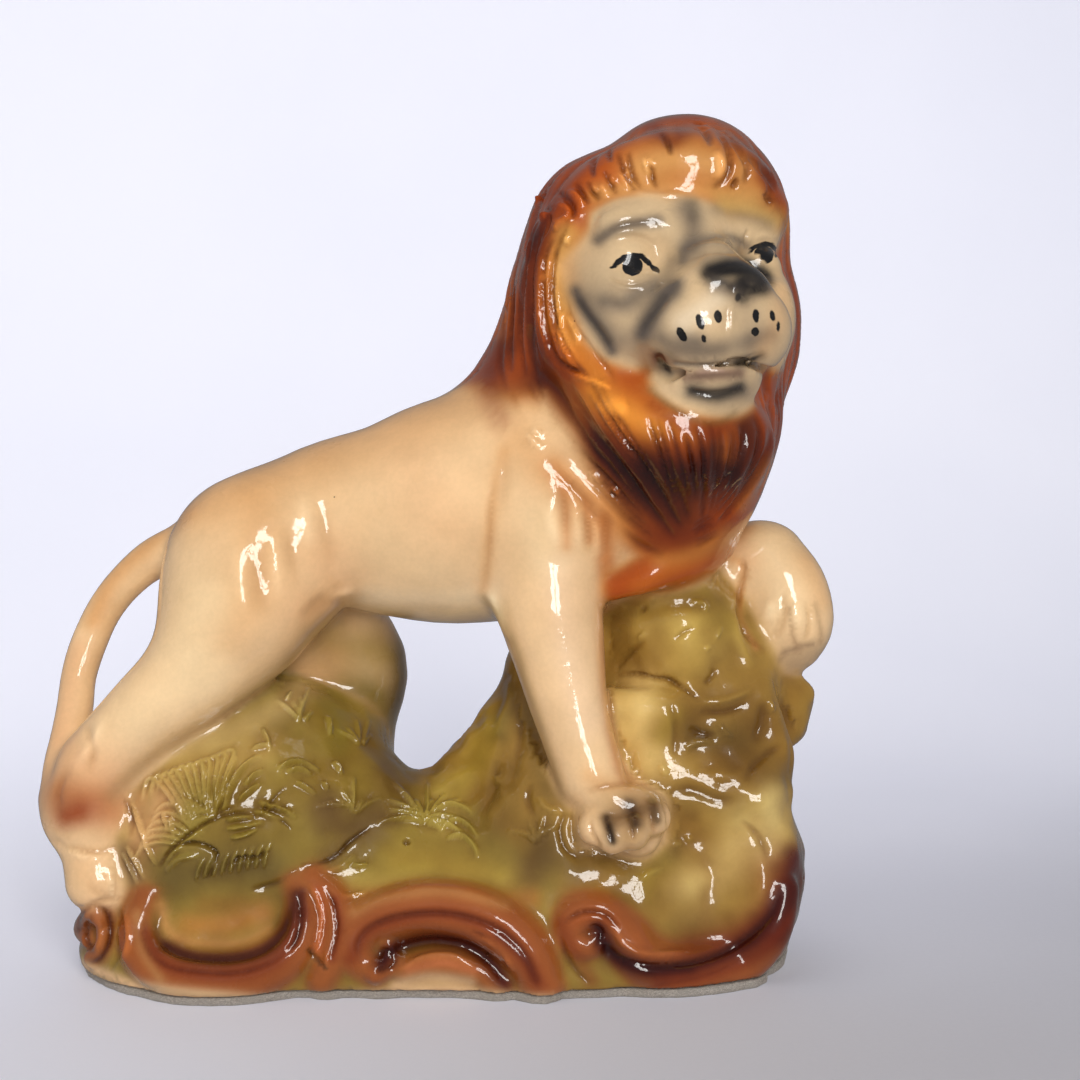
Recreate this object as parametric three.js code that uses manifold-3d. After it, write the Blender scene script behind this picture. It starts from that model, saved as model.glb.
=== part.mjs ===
// Cast lion on a rocky mound with a scrolled base, and the felt pad glued under it.
// Millimetres, +Z up, +X towards the head, -Y the display side. The origin is the middle of the underside.
import * as THREE from 'three';
import Module from 'manifold-3d';

// ---- driving dimensions (mm) ----
const FELT_THICKNESS = 2.0;        // glued felt under the base
const GLUE_GAP = 0.3;              // clear gap that stands for the glue line
const FIGURE_BOTTOM = FELT_THICKNESS + GLUE_GAP;
const BELOW_BOTTOM = 5;            // the form is made this far past its flat underside, then cut
const REACH = { x: [-112, 122], y: [-68, 62], z: [-6, 236] };   // space that holds the figure
const GRID_STEP = 2.9;             // spacing at which the surface is found
const FIGURE_TRIANGLES = 9000;     // size of the finished facet mesh
const FELT_POINTS = 120;           // corners round the felt
const FELT_INSET = 0.9;            // the felt is cut this far inside the foot of the base
const FELT_WAVER = 0.7;            // unevenness of the hand-cut edge
const FELT_PROUD = 1.6;            // how far the felt sticks out at the head end
const UNEVEN = [                   // slow waviness of the hand-finished casting: size, x, y, z pitch and phase
  [0.22, 0.071, 0.053, 0.064, 0.4], [0.16, 0.118, 0.097, 0.083, 1.9], [0.09, 0.191, 0.172, 0.213, 4.1],
];

// ---- the masses of the form ----
// Each row: name, 'add' or 'cut', blend radius, kind, sizes.
//   ball  [centre, radii, turn in degrees about x, y, z]
//   block [centre, half sizes, corner radius, turn]
//   limb  [rows of x, y, z, radius along a curve]
const ADD = 'add', CUT = 'cut';
const FORM = [
  // mound
  ['mound', ADD, 0, 'limb', [[-57, 0, 5, 37], [-30, 1, 4, 39], [5, 0, 3, 42], [34, 0, 2, 45], [55, 1, 4, 40]]],
  // rock
  ['rock_back', ADD, 12, 'ball', [50.6, 8, 58.3], [32, 24, 38]],
  ['rock_top', ADD, 8, 'ball', [63.7, -3, 84.3], [20, 24, 23]],
  ['rock_shoulder', ADD, 6, 'ball', [76.5, 0, 79.8], [19, 21, 19]],
  ['rock_a', ADD, 5, 'block', [56, -10, 61.5], [13, 19, 14], 6, [8, 4, -16]],
  ['rock_b', ADD, 5, 'block', [73.8, -8, 61.5], [14, 20, 14], 6, [-8, -14, 10]],
  ['rock_c', ADD, 4.5, 'block', [86.6, 1, 67.7], [11.5, 17.5, 9.5], 6, [4, 14, 16]],
  ['rock_d', ADD, 7, 'block', [70.2, -10, 44.6], [22, 24, 15], 10, [10, 6, -6]],
  ['rock_bulge', ADD, 8, 'ball', [78.3, -7, 21.4], [18.5, 34, 25], [0, 8, 6]],
  ['slope', ADD, 7, 'limb', [[-20.7, 0, 22.8, 14], [0.8, 1, 31.3, 16], [15.5, 0, 43.8, 16.5], [24.5, -2, 57, 14.5], [31.3, -2, 69.4, 13.5], [34, 0, 80.3, 14]]],
  ['paw_shelf', ADD, 9, 'ball', [44.8, -20, 23.3], [26, 22, 16]],
  ['leg_shelf', ADD, 9, 'ball', [31.8, -14, 38.1], [20, 20, 22]],
  // mound
  ['rise', ADD, 10, 'limb', [[-74.9, -10, 29.2, 15], [-61.8, -13, 37.4, 19], [-45.2, -12, 40.7, 21], [-24.6, -4, 37.3, 20]]],
  ['rise_top', ADD, 10, 'limb', [[-71.4, -6, 46.1, 13], [-58.5, -6, 52.2, 15], [-44.4, -2, 57.4, 17], [-30.1, 8, 54.7, 16]]],
  // body, legs and tail
  ['trunk', ADD, 6, 'limb', [[-46.3, 0, 106.5, 22], [-28.3, 0, 116, 21.5], [-9.7, 0, 117.3, 26], [6.4, 0, 119.7, 30.5], [25.3, 0, 122.3, 31.5], [40, -2, 126.4, 31]]],
  ['haunch_near', ADD, 10, 'ball', [-49.2, -11, 102.5], [21.5, 19, 26], [0, 20, 0]],
  ['haunch_far', ADD, 10, 'ball', [-48.2, 13, 99], [21, 17, 25], [0, 20, 0]],
  ['leg_near', ADD, 6, 'limb', [[-53, -15, 92.5, 17.5], [-62.9, -19, 79.2, 12.8], [-74.5, -20, 69, 10], [-86.8, -17, 56.2, 9.5]]],
  ['foot_near', ADD, 5, 'limb', [[-89.7, -15, 48.7, 9.5], [-88.3, -18, 37.8, 8], [-86.5, -21, 26.9, 8]]],
  ['leg_far', ADD, 7, 'limb', [[-37, 16, 91.8, 18], [-22.8, 18, 77, 15], [-23.4, 18, 62.2, 13], [-27.6, 16, 44.4, 13]]],
  ['tail', ADD, 3, 'limb', [[-56.1, 2, 113.7, 9], [-66.7, 3, 109.7, 7], [-75.4, 4, 106.5, 5.6], [-82.8, 4, 100.1, 4.9], [-88.1, 4, 93, 4.7], [-91.9, 3, 84.6, 4.6], [-94.3, 1, 76.3, 4.5], [-94.7, -3, 69, 4.6], [-95.4, -7, 61.7, 4.9], [-96.2, -10, 54.4, 5.5], [-95.9, -12, 47, 6.5]]],
  ['tail_tuft', ADD, 4, 'ball', [-89.1, -16, 42.8], [12, 10, 11]],
  ['shoulder', ADD, 12, 'ball', [25, -16, 121.3], [15, 14, 27]],
  ['arm_near', ADD, 4, 'limb', [[27.1, -16, 112.2, 15.5], [28.1, -21, 96.9, 14], [30.5, -25, 81.8, 11.5], [33.4, -29, 66.9, 9.4], [37.4, -32, 53.3, 8.7]]],
  ['paw_near', ADD, 2.5, 'block', [45.8, -34, 43.3], [10.8, 9.5, 8.6], 6.5, [0, 22, -8]],
  ['toe_1', ADD, 2, 'ball', [37.2, -41, 41.7], [4.1, 4.8, 4.4]],
  ['toe_2', ADD, 2, 'ball', [41.5, -44, 40.2], [4.1, 4.8, 4.4]],
  ['toe_3', ADD, 2, 'ball', [46.5, -45, 41.3], [4.2, 5, 4.5]],
  ['toe_4', ADD, 2, 'ball', [52.1, -43, 44.3], [4, 4.7, 4.3]],
  ['arm_far', ADD, 5, 'limb', [[59.1, 6, 100.7, 17], [74.2, 4, 101, 13.5], [86.2, -1, 104.2, 11.6]]],
  ['paw_far', ADD, 4, 'limb', [[89.9, -3, 105.4, 10.8], [93.3, -6, 98.5, 11.8], [94.5, -8, 90.5, 12.2], [94.6, -9, 85.7, 9.8]]],
  ['chest', ADD, 8, 'limb', [[40.8, -6, 122.4, 27], [53.7, -10, 117.2, 19], [60.1, -16, 109.4, 11]]],
  // mane
  ['fringe', ADD, 5, 'limb', [[44.7, -27, 100.3, 2.6], [53.3, -28, 103.6, 4.2], [62.9, -25, 107.5, 4.4], [72.2, -18, 110.8, 4]]],
  ['mane_core', ADD, 4, 'ball', [59, 0, 169.7], [42, 31.5, 43], [0, 0, 19]],
  ['crown', ADD, 8, 'ball', [66.6, 0, 201.8], [25.5, 27, 24]],
  ['crown_right', ADD, 6, 'ball', [83.3, 2, 196.4], [11.5, 20, 17]],
  ['temple', ADD, 8, 'ball', [43.4, -2, 195.2], [17.5, 23, 18]],
  ['beard', ADD, 6, 'limb', [[58.8, -8, 145.1, 32.5], [59.4, -15, 133.6, 27], [61.3, -18, 123.1, 19.5], [63.1, -20, 114.8, 11]]],
  ['nape', ADD, 8, 'limb', [[42.4, 6, 167.3, 20], [34, 5, 152.8, 22], [29.7, 3, 138.6, 26]]],
  // face
  ['skull', ADD, 3, 'ball', [56.5, -16.9, 177], [28, 19.5, 26], [-8, 0, 19]],
  ['forehead', ADD, 5, 'ball', [58.6, -20, 190.7], [21, 12, 11], [-8, 0, 19]],
  ['brow', ADD, 7, 'ball', [49.4, -31.6, 191.1], [10.5, 5.3, 5.2], [-8, 0, 19]],
  ['cheek', ADD, 9, 'ball', [45.6, -32.9, 170.1], [10.5, 12, 14], [-8, 0, 19]],
  ['brow', ADD, 7, 'ball', [76.7, -22.2, 191.1], [10.5, 5.3, 5.2], [-8, 0, 19]],
  ['cheek', ADD, 9, 'ball', [81.1, -21.9, 170.2], [10.5, 12, 14], [-8, 0, 19]],
  ['bridge', ADD, 8, 'limb', [[60.8, -23.3, 192.2, 9.5], [63.7, -32.7, 182.5, 9.2], [66, -40.2, 177.5, 9]]],
  ['muzzle', ADD, 7, 'ball', [66.8, -40.6, 165.5], [17.5, 13.5, 12.5], [-8, 0, 19]],
  ['muzzle_lobe', ADD, 9, 'ball', [61.4, -46.5, 164], [9.8, 9.6, 9.2], [-8, 0, 19]],
  ['muzzle_lobe', ADD, 9, 'ball', [74.6, -41.9, 164], [9.8, 9.6, 9.2], [-8, 0, 19]],
  ['nose', ADD, 4, 'ball', [68.3, -46.3, 174.8], [10.6, 7.4, 6], [-8, 0, 19]],
  ['chin', ADD, 6, 'ball', [64.7, -40.9, 150.8], [11, 10.5, 8.2], [-8, 0, 19]],
  ['lip', ADD, 2.5, 'limb', [[58.5, -47.2, 151.7, 2.4], [68.1, -49, 152.9, 3], [75.6, -41.8, 151.9, 2.4]]],
  ['socket', CUT, 4.5, 'ball', [48.7, -41.4, 184.6], [6.8, 3, 4], [-8, 0, 19]],
  ['eyeball', ADD, 2, 'ball', [46.7, -35.4, 182.7], [5.6, 5, 4.4], [-8, 0, 19]],
  ['socket', CUT, 4.5, 'ball', [84.2, -29.7, 184.7], [6.8, 3, 4], [-8, 0, 19]],
  ['eyeball', ADD, 2, 'ball', [82.2, -23.9, 182.8], [5.6, 5, 4.4], [-8, 0, 19]],
  ['mouth', CUT, 2, 'limb', [[51.9, -45, 152.8, 1.9], [59.3, -49.6, 154.7, 1.3], [69.5, -51.8, 157, 1.1], [77.4, -45.4, 155.9, 1.2], [81, -36, 156.5, 1.5]]],
  // mane
  ['quiff', ADD, 6, 'limb', [[32.5, -21.1, 192.3, 6], [40.6, -22.1, 199.9, 8], [51.7, -20.7, 205.4, 9.5], [64.2, -23.4, 206.7, 10], [76.3, -21.9, 204.1, 8.5], [85, -18.5, 198.6, 5.5]]],
  ['roll_left', ADD, 6, 'limb', [[32, -25.3, 191.7, 6], [28.1, -20.6, 183.6, 6], [28.4, -23.2, 172.4, 6.5], [32.9, -26.2, 161.3, 7], [40.3, -31.7, 151.5, 7], [49.3, -35.9, 144.3, 7], [56.9, -38.4, 139.3, 7]]],
  ['beard_front', ADD, 9, 'limb', [[48.9, -38.6, 138.8, 9], [61.2, -39.9, 135.3, 10], [73.7, -34.7, 136.9, 9]]],
  // scrolls of the base
  ['u_bowl', CUT, 4, 'limb', [[-67, -39.1, 22.1, 9], [-56.2, -42.9, 20.3, 11], [-44.4, -40.6, 22.3, 9]]],
  ['u_rim', ADD, 3, 'limb', [[-73.5, -27.9, 23.3, 3], [-75.6, -28.8, 16.5, 4.4], [-73.4, -31.6, 10.5, 5.4], [-66, -34.9, 7, 6], [-53.8, -36.1, 5.7, 6.2], [-42.8, -36.2, 8.4, 6], [-36.2, -35.1, 14.1, 5.4], [-34.8, -32.3, 20.8, 4.4], [-36.1, -29.9, 25.8, 3]]],
  ['strut', ADD, 2, 'limb', [[-32.1, -30.4, 27.3, 2.8], [-27.1, -32.3, 23.1, 3.8], [-25.1, -35.5, 16.4, 4.2], [-27.6, -37, 9.9, 4], [-30.1, -37.2, 5, 3.6]]],
  ['arch', ADD, 3, 'limb', [[-16.8, -38.4, 6.5, 3.2], [-21.7, -37.8, 11.4, 4.2], [-19.2, -36.1, 17.4, 5.2], [-10.3, -35.7, 20.8, 6.4], [1.6, -36.9, 21.1, 7], [12.6, -39.8, 17.7, 7], [20.5, -42.6, 11.3, 6.2], [24.1, -43.8, 3.6, 5]]],
  ['arch_curl', ADD, 1.5, 'limb', [[-16.8, -41.2, 7.3, 2.6], [-12.6, -39.7, 9.2, 2.4], [-13.8, -38.9, 12.8, 2]]],
  ['arch_lip', ADD, 2, 'limb', [[-9.7, -39.6, 7.6, 3], [-1.1, -40.3, 9.1, 3.4], [8.2, -41.8, 7.2, 3.2], [13.6, -42.8, 2.9, 2.8]]],
  ['volute', ADD, 3, 'limb', [[38.3, -43.9, 14.9, 2.2], [34.8, -43.9, 13, 2.8], [31, -42.8, 15.6, 3.6], [33, -42.2, 20.1, 4.2], [39.2, -42.8, 20.6, 4.4], [44.5, -42.8, 15.9, 4.6], [49.6, -42.2, 8.5, 6], [61.9, -38.7, 3.8, 6.6], [75.5, -35.1, 5.7, 6.4], [82.5, -38.6, 14.1, 5.4], [86.2, -37.9, 24.1, 3.6]]],
  ['end_curl', ADD, 1.5, 'limb', [[-88.3, -18.3, 11.4, 3], [-91.8, -10.2, 11.9, 2.6], [-87, -24.2, 19.4, 2.6], [-84.2, -23.3, 16.5, 2.8], [-84.2, -23.8, 11.1, 2.8], [-87.8, -20, 6.8, 2.6]]],
];

// ---- distance functions ----
const rad = (a) => (a * Math.PI) / 180;
function turned(t) {
  const [rx, ry, rz] = (t ?? [0, 0, 0]).map(rad);
  const m = new THREE.Matrix4().makeRotationFromEuler(new THREE.Euler(rx, ry, rz, 'ZYX'));
  return m.elements;   // columns are the mass's own axes
}
function local(e, dx, dy, dz, out) {
  out[0] = e[0] * dx + e[1] * dy + e[2] * dz;
  out[1] = e[4] * dx + e[5] * dy + e[6] * dz;
  out[2] = e[8] * dx + e[9] * dy + e[10] * dz;
}
const q3 = [0, 0, 0];
function ballDistance(c, r, e) {
  return (x, y, z) => {
    local(e, x - c[0], y - c[1], z - c[2], q3);
    const a = q3[0] / r[0], b = q3[1] / r[1], d = q3[2] / r[2];
    const k0 = Math.hypot(a, b, d), k1 = Math.hypot(a / r[0], b / r[1], d / r[2]);
    return (k0 * (k0 - 1)) / Math.max(k1, 1e-6);
  };
}
function blockDistance(c, h, rr, e) {
  return (x, y, z) => {
    local(e, x - c[0], y - c[1], z - c[2], q3);
    const a = Math.abs(q3[0]) - h[0] + rr, b = Math.abs(q3[1]) - h[1] + rr, d = Math.abs(q3[2]) - h[2] + rr;
    return Math.hypot(Math.max(a, 0), Math.max(b, 0), Math.max(d, 0)) + Math.min(Math.max(a, b, d), 0) - rr;
  };
}
function coneDistance(a, b) {   // round cone between two balls
  const ba = [b[0] - a[0], b[1] - a[1], b[2] - a[2]], ra = Math.max(a[3], 0.05), rb = Math.max(b[3], 0.05);
  const l2 = ba[0] ** 2 + ba[1] ** 2 + ba[2] ** 2, rr = ra - rb, a2 = l2 - rr * rr, il2 = 1 / l2;
  return (x, y, z) => {
    const px = x - a[0], py = y - a[1], pz = z - a[2];
    if (l2 < 1e-6 || a2 <= 0) {
      return Math.min(Math.hypot(px, py, pz) - ra, Math.hypot(x - b[0], y - b[1], z - b[2]) - rb);
    }
    const yy = px * ba[0] + py * ba[1] + pz * ba[2], zz = yy - l2;
    const x2 = Math.max((px * px + py * py + pz * pz) * l2 * l2 - yy * yy * l2, 0);
    const y2 = yy * yy * l2, z2 = zz * zz * l2, k = Math.sign(rr) * rr * rr * x2;
    if (Math.sign(zz) * a2 * z2 > k) return Math.sqrt(x2 + z2) * il2 - rb;
    if (Math.sign(yy) * a2 * y2 < k) return Math.sqrt(x2 + y2) * il2 - ra;
    return (Math.sqrt(x2 * a2 * il2) + yy * rr) * il2 - ra;
  };
}
function curve(rows, n = 4) {   // Catmull-Rom through rows of x, y, z, radius
  if (rows.length < 3) return rows;
  const mirror = (p, q) => p.map((v, i) => 2 * v - q[i]);
  const e = [mirror(rows[0], rows[1]), ...rows, mirror(rows.at(-1), rows.at(-2))], out = [];
  for (let i = 1; i < e.length - 2; i++) {
    const [a, b, c, d] = e.slice(i - 1, i + 3);
    for (let s = 0; s < n; s++) {
      const t = s / n;
      out.push(a.map((_, j) => 0.5 * (2 * b[j] + (c[j] - a[j]) * t + (2 * a[j] - 5 * b[j] + 4 * c[j] - d[j]) * t * t
        + (3 * b[j] - a[j] - 3 * c[j] + d[j]) * t ** 3)));
    }
  }
  out.push(e.at(-2));
  return out;
}
function massOf([name, op, k, kind, ...s]) {
  let parts, centre, reach;
  if (kind === 'ball') {
    parts = [ballDistance(s[0], s[1], turned(s[2]))]; centre = s[0]; reach = Math.max(...s[1]);
  } else if (kind === 'block') {
    parts = [blockDistance(s[0], s[1], s[2], turned(s[3]))]; centre = s[0]; reach = Math.hypot(...s[1]);
  } else {
    const c = curve(s[0]), lo = [1e9, 1e9, 1e9], hi = [-1e9, -1e9, -1e9];
    parts = c.slice(1).map((q, i) => coneDistance(c[i], q));
    for (const p of c) for (let i = 0; i < 3; i++) { lo[i] = Math.min(lo[i], p[i] - p[3]); hi[i] = Math.max(hi[i], p[i] + p[3]); }
    centre = lo.map((v, i) => (v + hi[i]) / 2); reach = Math.hypot(...lo.map((v, i) => (hi[i] - v) / 2));
  }
  return { name, op, k, parts, centre, reach };
}
const MASSES = FORM.map(massOf);
function smooth(a, b, k) {
  if (k <= 0) return Math.min(a, b);
  const h = Math.max(k - Math.abs(a - b), 0) / k;
  return Math.min(a, b) - h * h * k * 0.25;
}
function field(x, y, z) {
  let f = 1e3;
  for (const m of MASSES) {
    const far = Math.hypot(x - m.centre[0], y - m.centre[1], z - m.centre[2]) - m.reach;
    if (m.op === ADD ? far > f + m.k + 1 : far > m.k + 1 - f) continue;
    let d = 1e9;
    for (const p of m.parts) d = Math.min(d, p(x, y, z));
    f = m.op === ADD ? smooth(f, d, m.k) : -smooth(-f, d, m.k);
  }
  for (const [a, u, v, w, ph] of UNEVEN) f += a * Math.sin(u * x + ph) * Math.cos(v * y + 2 * ph) * Math.sin(w * z + 3 * ph);
  return f;
}
const figure = (x, y, z) => Math.max(field(x, y, z), FIGURE_BOTTOM - BELOW_BOTTOM - z);

// ---- surface of the form: six tetrahedra in each grid cube ----
function surface() {
  const h = GRID_STEP, o = [REACH.x[0], REACH.y[0], REACH.z[0]];
  const n = ['x', 'y', 'z'].map((a) => Math.ceil((REACH[a][1] - REACH[a][0]) / h) + 1);
  const at = (i, j, k) => (i * n[1] + j) * n[2] + k;
  const val = new Float64Array(n[0] * n[1] * n[2]);
  for (let i = 0; i < n[0]; i++) for (let j = 0; j < n[1]; j++) for (let k = 0; k < n[2]; k++) {
    let v = figure(o[0] + i * h, o[1] + j * h, o[2] + k * h);
    if (Math.abs(v) < 1e-4 * h) v = 1e-4 * h;
    if (i === 0 || j === 0 || k === 0 || i === n[0] - 1 || j === n[1] - 1 || k === n[2] - 1) v = Math.max(v, 0.1);
    val[at(i, j, k)] = v;
  }
  const pts = [], seen = new Map(), tris = [];
  const where = (id) => [Math.floor(id / (n[1] * n[2])), Math.floor(id / n[2]) % n[1], id % n[2]];
  const cut = (p, q) => {
    const a = Math.min(p, q), b = Math.max(p, q), key = a * 8000000 + b;
    let v = seen.get(key);
    if (v === undefined) {
      const t = val[a] / (val[a] - val[b]), A = where(a), B = where(b);
      v = pts.length;
      pts.push(A.map((c, i) => o[i] + (c + (B[i] - c) * Math.min(Math.max(t, 0.04), 0.96)) * h));
      seen.set(key, v);
    }
    return v;
  };
  const axis = [[1, 0, 0], [0, 1, 0], [0, 0, 1]];
  const orders = [[0, 1, 2], [1, 2, 0], [2, 0, 1], [0, 2, 1], [2, 1, 0], [1, 0, 2]];
  for (let i = 0; i < n[0] - 1; i++) for (let j = 0; j < n[1] - 1; j++) for (let k = 0; k < n[2] - 1; k++) {
    orders.forEach((ord, oi) => {
      const c = [i, j, k], ids = [at(...c)];
      for (const a of ord) { c[0] += axis[a][0]; c[1] += axis[a][1]; c[2] += axis[a][2]; ids.push(at(...c)); }
      let t = ids; if (oi >= 3) t = [ids[0], ids[2], ids[1], ids[3]];   // keep every tetrahedron the same way round
      const [A, B, C, D] = t, s = t.map((v) => val[v] < 0);
      const code = (s[0] ? 1 : 0) | (s[1] ? 2 : 0) | (s[2] ? 4 : 0) | (s[3] ? 8 : 0);
      const tri = (a, b, c) => { if (a !== b && b !== c && a !== c) tris.push([a, b, c]); };
      const quad = (a, b, c, d) => { tri(a, b, c); tri(a, c, d); };
      const one = (p, q, r, u) => tri(cut(p, q), cut(p, r), cut(p, u));
      switch (code) {
        case 1: one(A, B, C, D); break;
        case 14: one(A, C, B, D); break;
        case 2: one(B, A, D, C); break;
        case 13: one(B, D, A, C); break;
        case 4: one(C, A, B, D); break;
        case 11: one(C, B, A, D); break;
        case 8: one(D, A, C, B); break;
        case 7: one(D, C, A, B); break;
        case 3: quad(cut(A, C), cut(A, D), cut(B, D), cut(B, C)); break;
        case 12: quad(cut(A, C), cut(B, C), cut(B, D), cut(A, D)); break;
        case 5: quad(cut(A, B), cut(B, C), cut(C, D), cut(A, D)); break;
        case 10: quad(cut(A, B), cut(A, D), cut(C, D), cut(B, C)); break;
        case 9: quad(cut(A, B), cut(A, C), cut(C, D), cut(B, D)); break;
        case 6: quad(cut(A, B), cut(B, D), cut(C, D), cut(A, C)); break;
        default:
      }
    });
  }
  for (const p of pts) {   // settle each point on the surface
    for (let s = 0; s < 3; s++) {
      const e = 0.2, f = figure(...p);
      const g = [0, 1, 2].map((a) => { const q = [...p], r = [...p]; q[a] += e; r[a] -= e; return (figure(...q) - figure(...r)) / (2 * e); });
      const g2 = Math.max(g[0] ** 2 + g[1] ** 2 + g[2] ** 2, 0.25), step = Math.max(-0.35 * h, Math.min(0.35 * h, f / Math.sqrt(g2)));
      for (let a = 0; a < 3; a++) p[a] -= 0.8 * step * g[a] / Math.sqrt(g2);
    }
  }
  let volume = 0;
  for (const [a, b, c] of tris) {
    const A = pts[a], B = pts[b], C = pts[c];
    volume += A[0] * (B[1] * C[2] - B[2] * C[1]) + A[1] * (B[2] * C[0] - B[0] * C[2]) + A[2] * (B[0] * C[1] - B[1] * C[0]);
  }
  if (volume < 0) for (const t of tris) [t[1], t[2]] = [t[2], t[1]];
  return { pts, tris };
}

// ---- fewer, better placed facets: edges are closed in order of least change ----
function simplify({ pts, tris }, target) {
  const nv = pts.length, P = pts.map((p) => [...p]);
  const Q = Array.from({ length: nv }, () => new Float64Array(10));
  const faces = tris.map((t) => [...t]), alive = new Uint8Array(faces.length).fill(1);
  const around = Array.from({ length: nv }, () => new Set());
  faces.forEach((t, i) => t.forEach((v) => around[v].add(i)));
  const sub = (a, b) => [a[0] - b[0], a[1] - b[1], a[2] - b[2]];
  const cross = (a, b) => [a[1] * b[2] - a[2] * b[1], a[2] * b[0] - a[0] * b[2], a[0] * b[1] - a[1] * b[0]];
  const dot = (a, b) => a[0] * b[0] + a[1] * b[1] + a[2] * b[2];
  const plane = (q, nx, ny, nz, d, w) => {
    const m = [nx * nx, nx * ny, nx * nz, nx * d, ny * ny, ny * nz, ny * d, nz * nz, nz * d, d * d];
    for (let i = 0; i < 10; i++) q[i] += m[i] * w;
  };
  for (const t of faces) {
    const c = cross(sub(P[t[1]], P[t[0]]), sub(P[t[2]], P[t[0]])), l = Math.hypot(...c) || 1e-12;
    const n = c.map((v) => v / l), d = -dot(n, P[t[0]]);
    for (const v of t) plane(Q[v], ...n, d, l);
  }
  for (let v = 0; v < nv; v++) {   // a little pull to stay put keeps facets even
    const p = P[v], w = 0.004;
    plane(Q[v], 1, 0, 0, -p[0], w); plane(Q[v], 0, 1, 0, -p[1], w); plane(Q[v], 0, 0, 1, -p[2], w);
  }
  const cost = (q, p) => {
    const [x, y, z] = p;
    return q[0] * x * x + 2 * q[1] * x * y + 2 * q[2] * x * z + 2 * q[3] * x + q[4] * y * y + 2 * q[5] * y * z + 2 * q[6] * y
      + q[7] * z * z + 2 * q[8] * z + q[9];
  };
  const best = (u, v) => {
    const q = new Float64Array(10); for (let i = 0; i < 10; i++) q[i] = Q[u][i] + Q[v][i];
    const a = q[0], b = q[1], c = q[2], e = q[4], f = q[5], g = q[7];
    const det = a * (e * g - f * f) - b * (b * g - f * c) + c * (b * f - e * c);
    const mid = [0, 1, 2].map((i) => (P[u][i] + P[v][i]) / 2);
    let at = mid, err = cost(q, mid);
    if (Math.abs(det) > 1e-10) {
      const r = [-q[3], -q[6], -q[8]];
      const s = [
        (r[0] * (e * g - f * f) - b * (r[1] * g - f * r[2]) + c * (r[1] * f - e * r[2])) / det,
        (a * (r[1] * g - f * r[2]) - r[0] * (b * g - f * c) + c * (b * r[2] - r[1] * c)) / det,
        (a * (e * r[2] - r[1] * f) - b * (b * r[2] - r[1] * c) + r[0] * (b * f - e * c)) / det];
      const len = Math.hypot(...sub(P[u], P[v]));
      if (Math.hypot(...sub(s, mid)) < 1.5 * len) { at = s; err = cost(q, s); }
    }
    return { at, err: Math.max(err, 0) };
  };
  const heap = [], stamp = new Int32Array(nv);
  const less = (a, b) => a.err < b.err;
  const push = (x) => {
    let i = heap.push(x) - 1;
    while (i > 0) { const p = (i - 1) >> 1; if (!less(heap[i], heap[p])) break; [heap[i], heap[p]] = [heap[p], heap[i]]; i = p; }
  };
  const pop = () => {
    const top = heap[0], last = heap.pop();
    if (heap.length) {
      heap[0] = last; let i = 0;
      for (;;) {
        const l = 2 * i + 1, r = l + 1; let m = i;
        if (l < heap.length && less(heap[l], heap[m])) m = l;
        if (r < heap.length && less(heap[r], heap[m])) m = r;
        if (m === i) break;
        [heap[i], heap[m]] = [heap[m], heap[i]]; i = m;
      }
    }
    return top;
  };
  const near = (v) => { const s = new Set(); for (const f of around[v]) for (const w of faces[f]) if (w !== v) s.add(w); return s; };
  const offer = (u, v) => { const b = best(u, v); push({ u, v, su: stamp[u], sv: stamp[v], ...b }); };
  for (let v = 0; v < nv; v++) for (const w of near(v)) if (v < w) offer(v, w);
  let count = faces.length;
  while (count > target && heap.length) {
    const c = pop();
    if (c.su !== stamp[c.u] || c.sv !== stamp[c.v] || !around[c.u].size || !around[c.v].size) continue;
    const nu = near(c.u), nw = near(c.v);
    if (!nu.has(c.v)) continue;
    const shared = [...around[c.u]].filter((f) => around[c.v].has(f));
    let common = 0; for (const w of nu) if (nw.has(w)) common++;
    if (common !== 2 || shared.length !== 2) continue;
    let ok = true;
    for (const v of [c.u, c.v]) {
      for (const f of around[v]) {
        if (shared.includes(f)) continue;
        const t = faces[f], before = cross(sub(P[t[1]], P[t[0]]), sub(P[t[2]], P[t[0]]));
        const m = t.map((w) => (w === c.u || w === c.v ? c.at : P[w])), after = cross(sub(m[1], m[0]), sub(m[2], m[0]));
        const la = Math.hypot(...after), lb = Math.hypot(...before);
        const e = Math.max(Math.hypot(...sub(m[1], m[0])), Math.hypot(...sub(m[2], m[1])), Math.hypot(...sub(m[0], m[2])));
        if (la < 0.06 * e * e || dot(before, after) < 0.35 * la * lb) { ok = false; break; }
      }
      if (!ok) break;
    }
    if (!ok) continue;
    for (const f of shared) { alive[f] = 0; count--; for (const w of faces[f]) around[w].delete(f); }
    for (const f of around[c.v]) { const t = faces[f]; t[t.indexOf(c.v)] = c.u; around[c.u].add(f); }
    around[c.v].clear();
    P[c.u] = [...c.at]; for (let i = 0; i < 10; i++) Q[c.u][i] += Q[c.v][i];
    stamp[c.u]++; stamp[c.v]++;
    const ring = near(c.u);
    for (const w of ring) offer(Math.min(c.u, w), Math.max(c.u, w));
  }
  const map = new Map(), out = [], T = [];
  faces.forEach((t, i) => {
    if (!alive[i]) return;
    T.push(t.map((v) => { if (!map.has(v)) { map.set(v, out.length); out.push(P[v]); } return map.get(v); }));
  });
  return { pts: out, tris: T };
}

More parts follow.
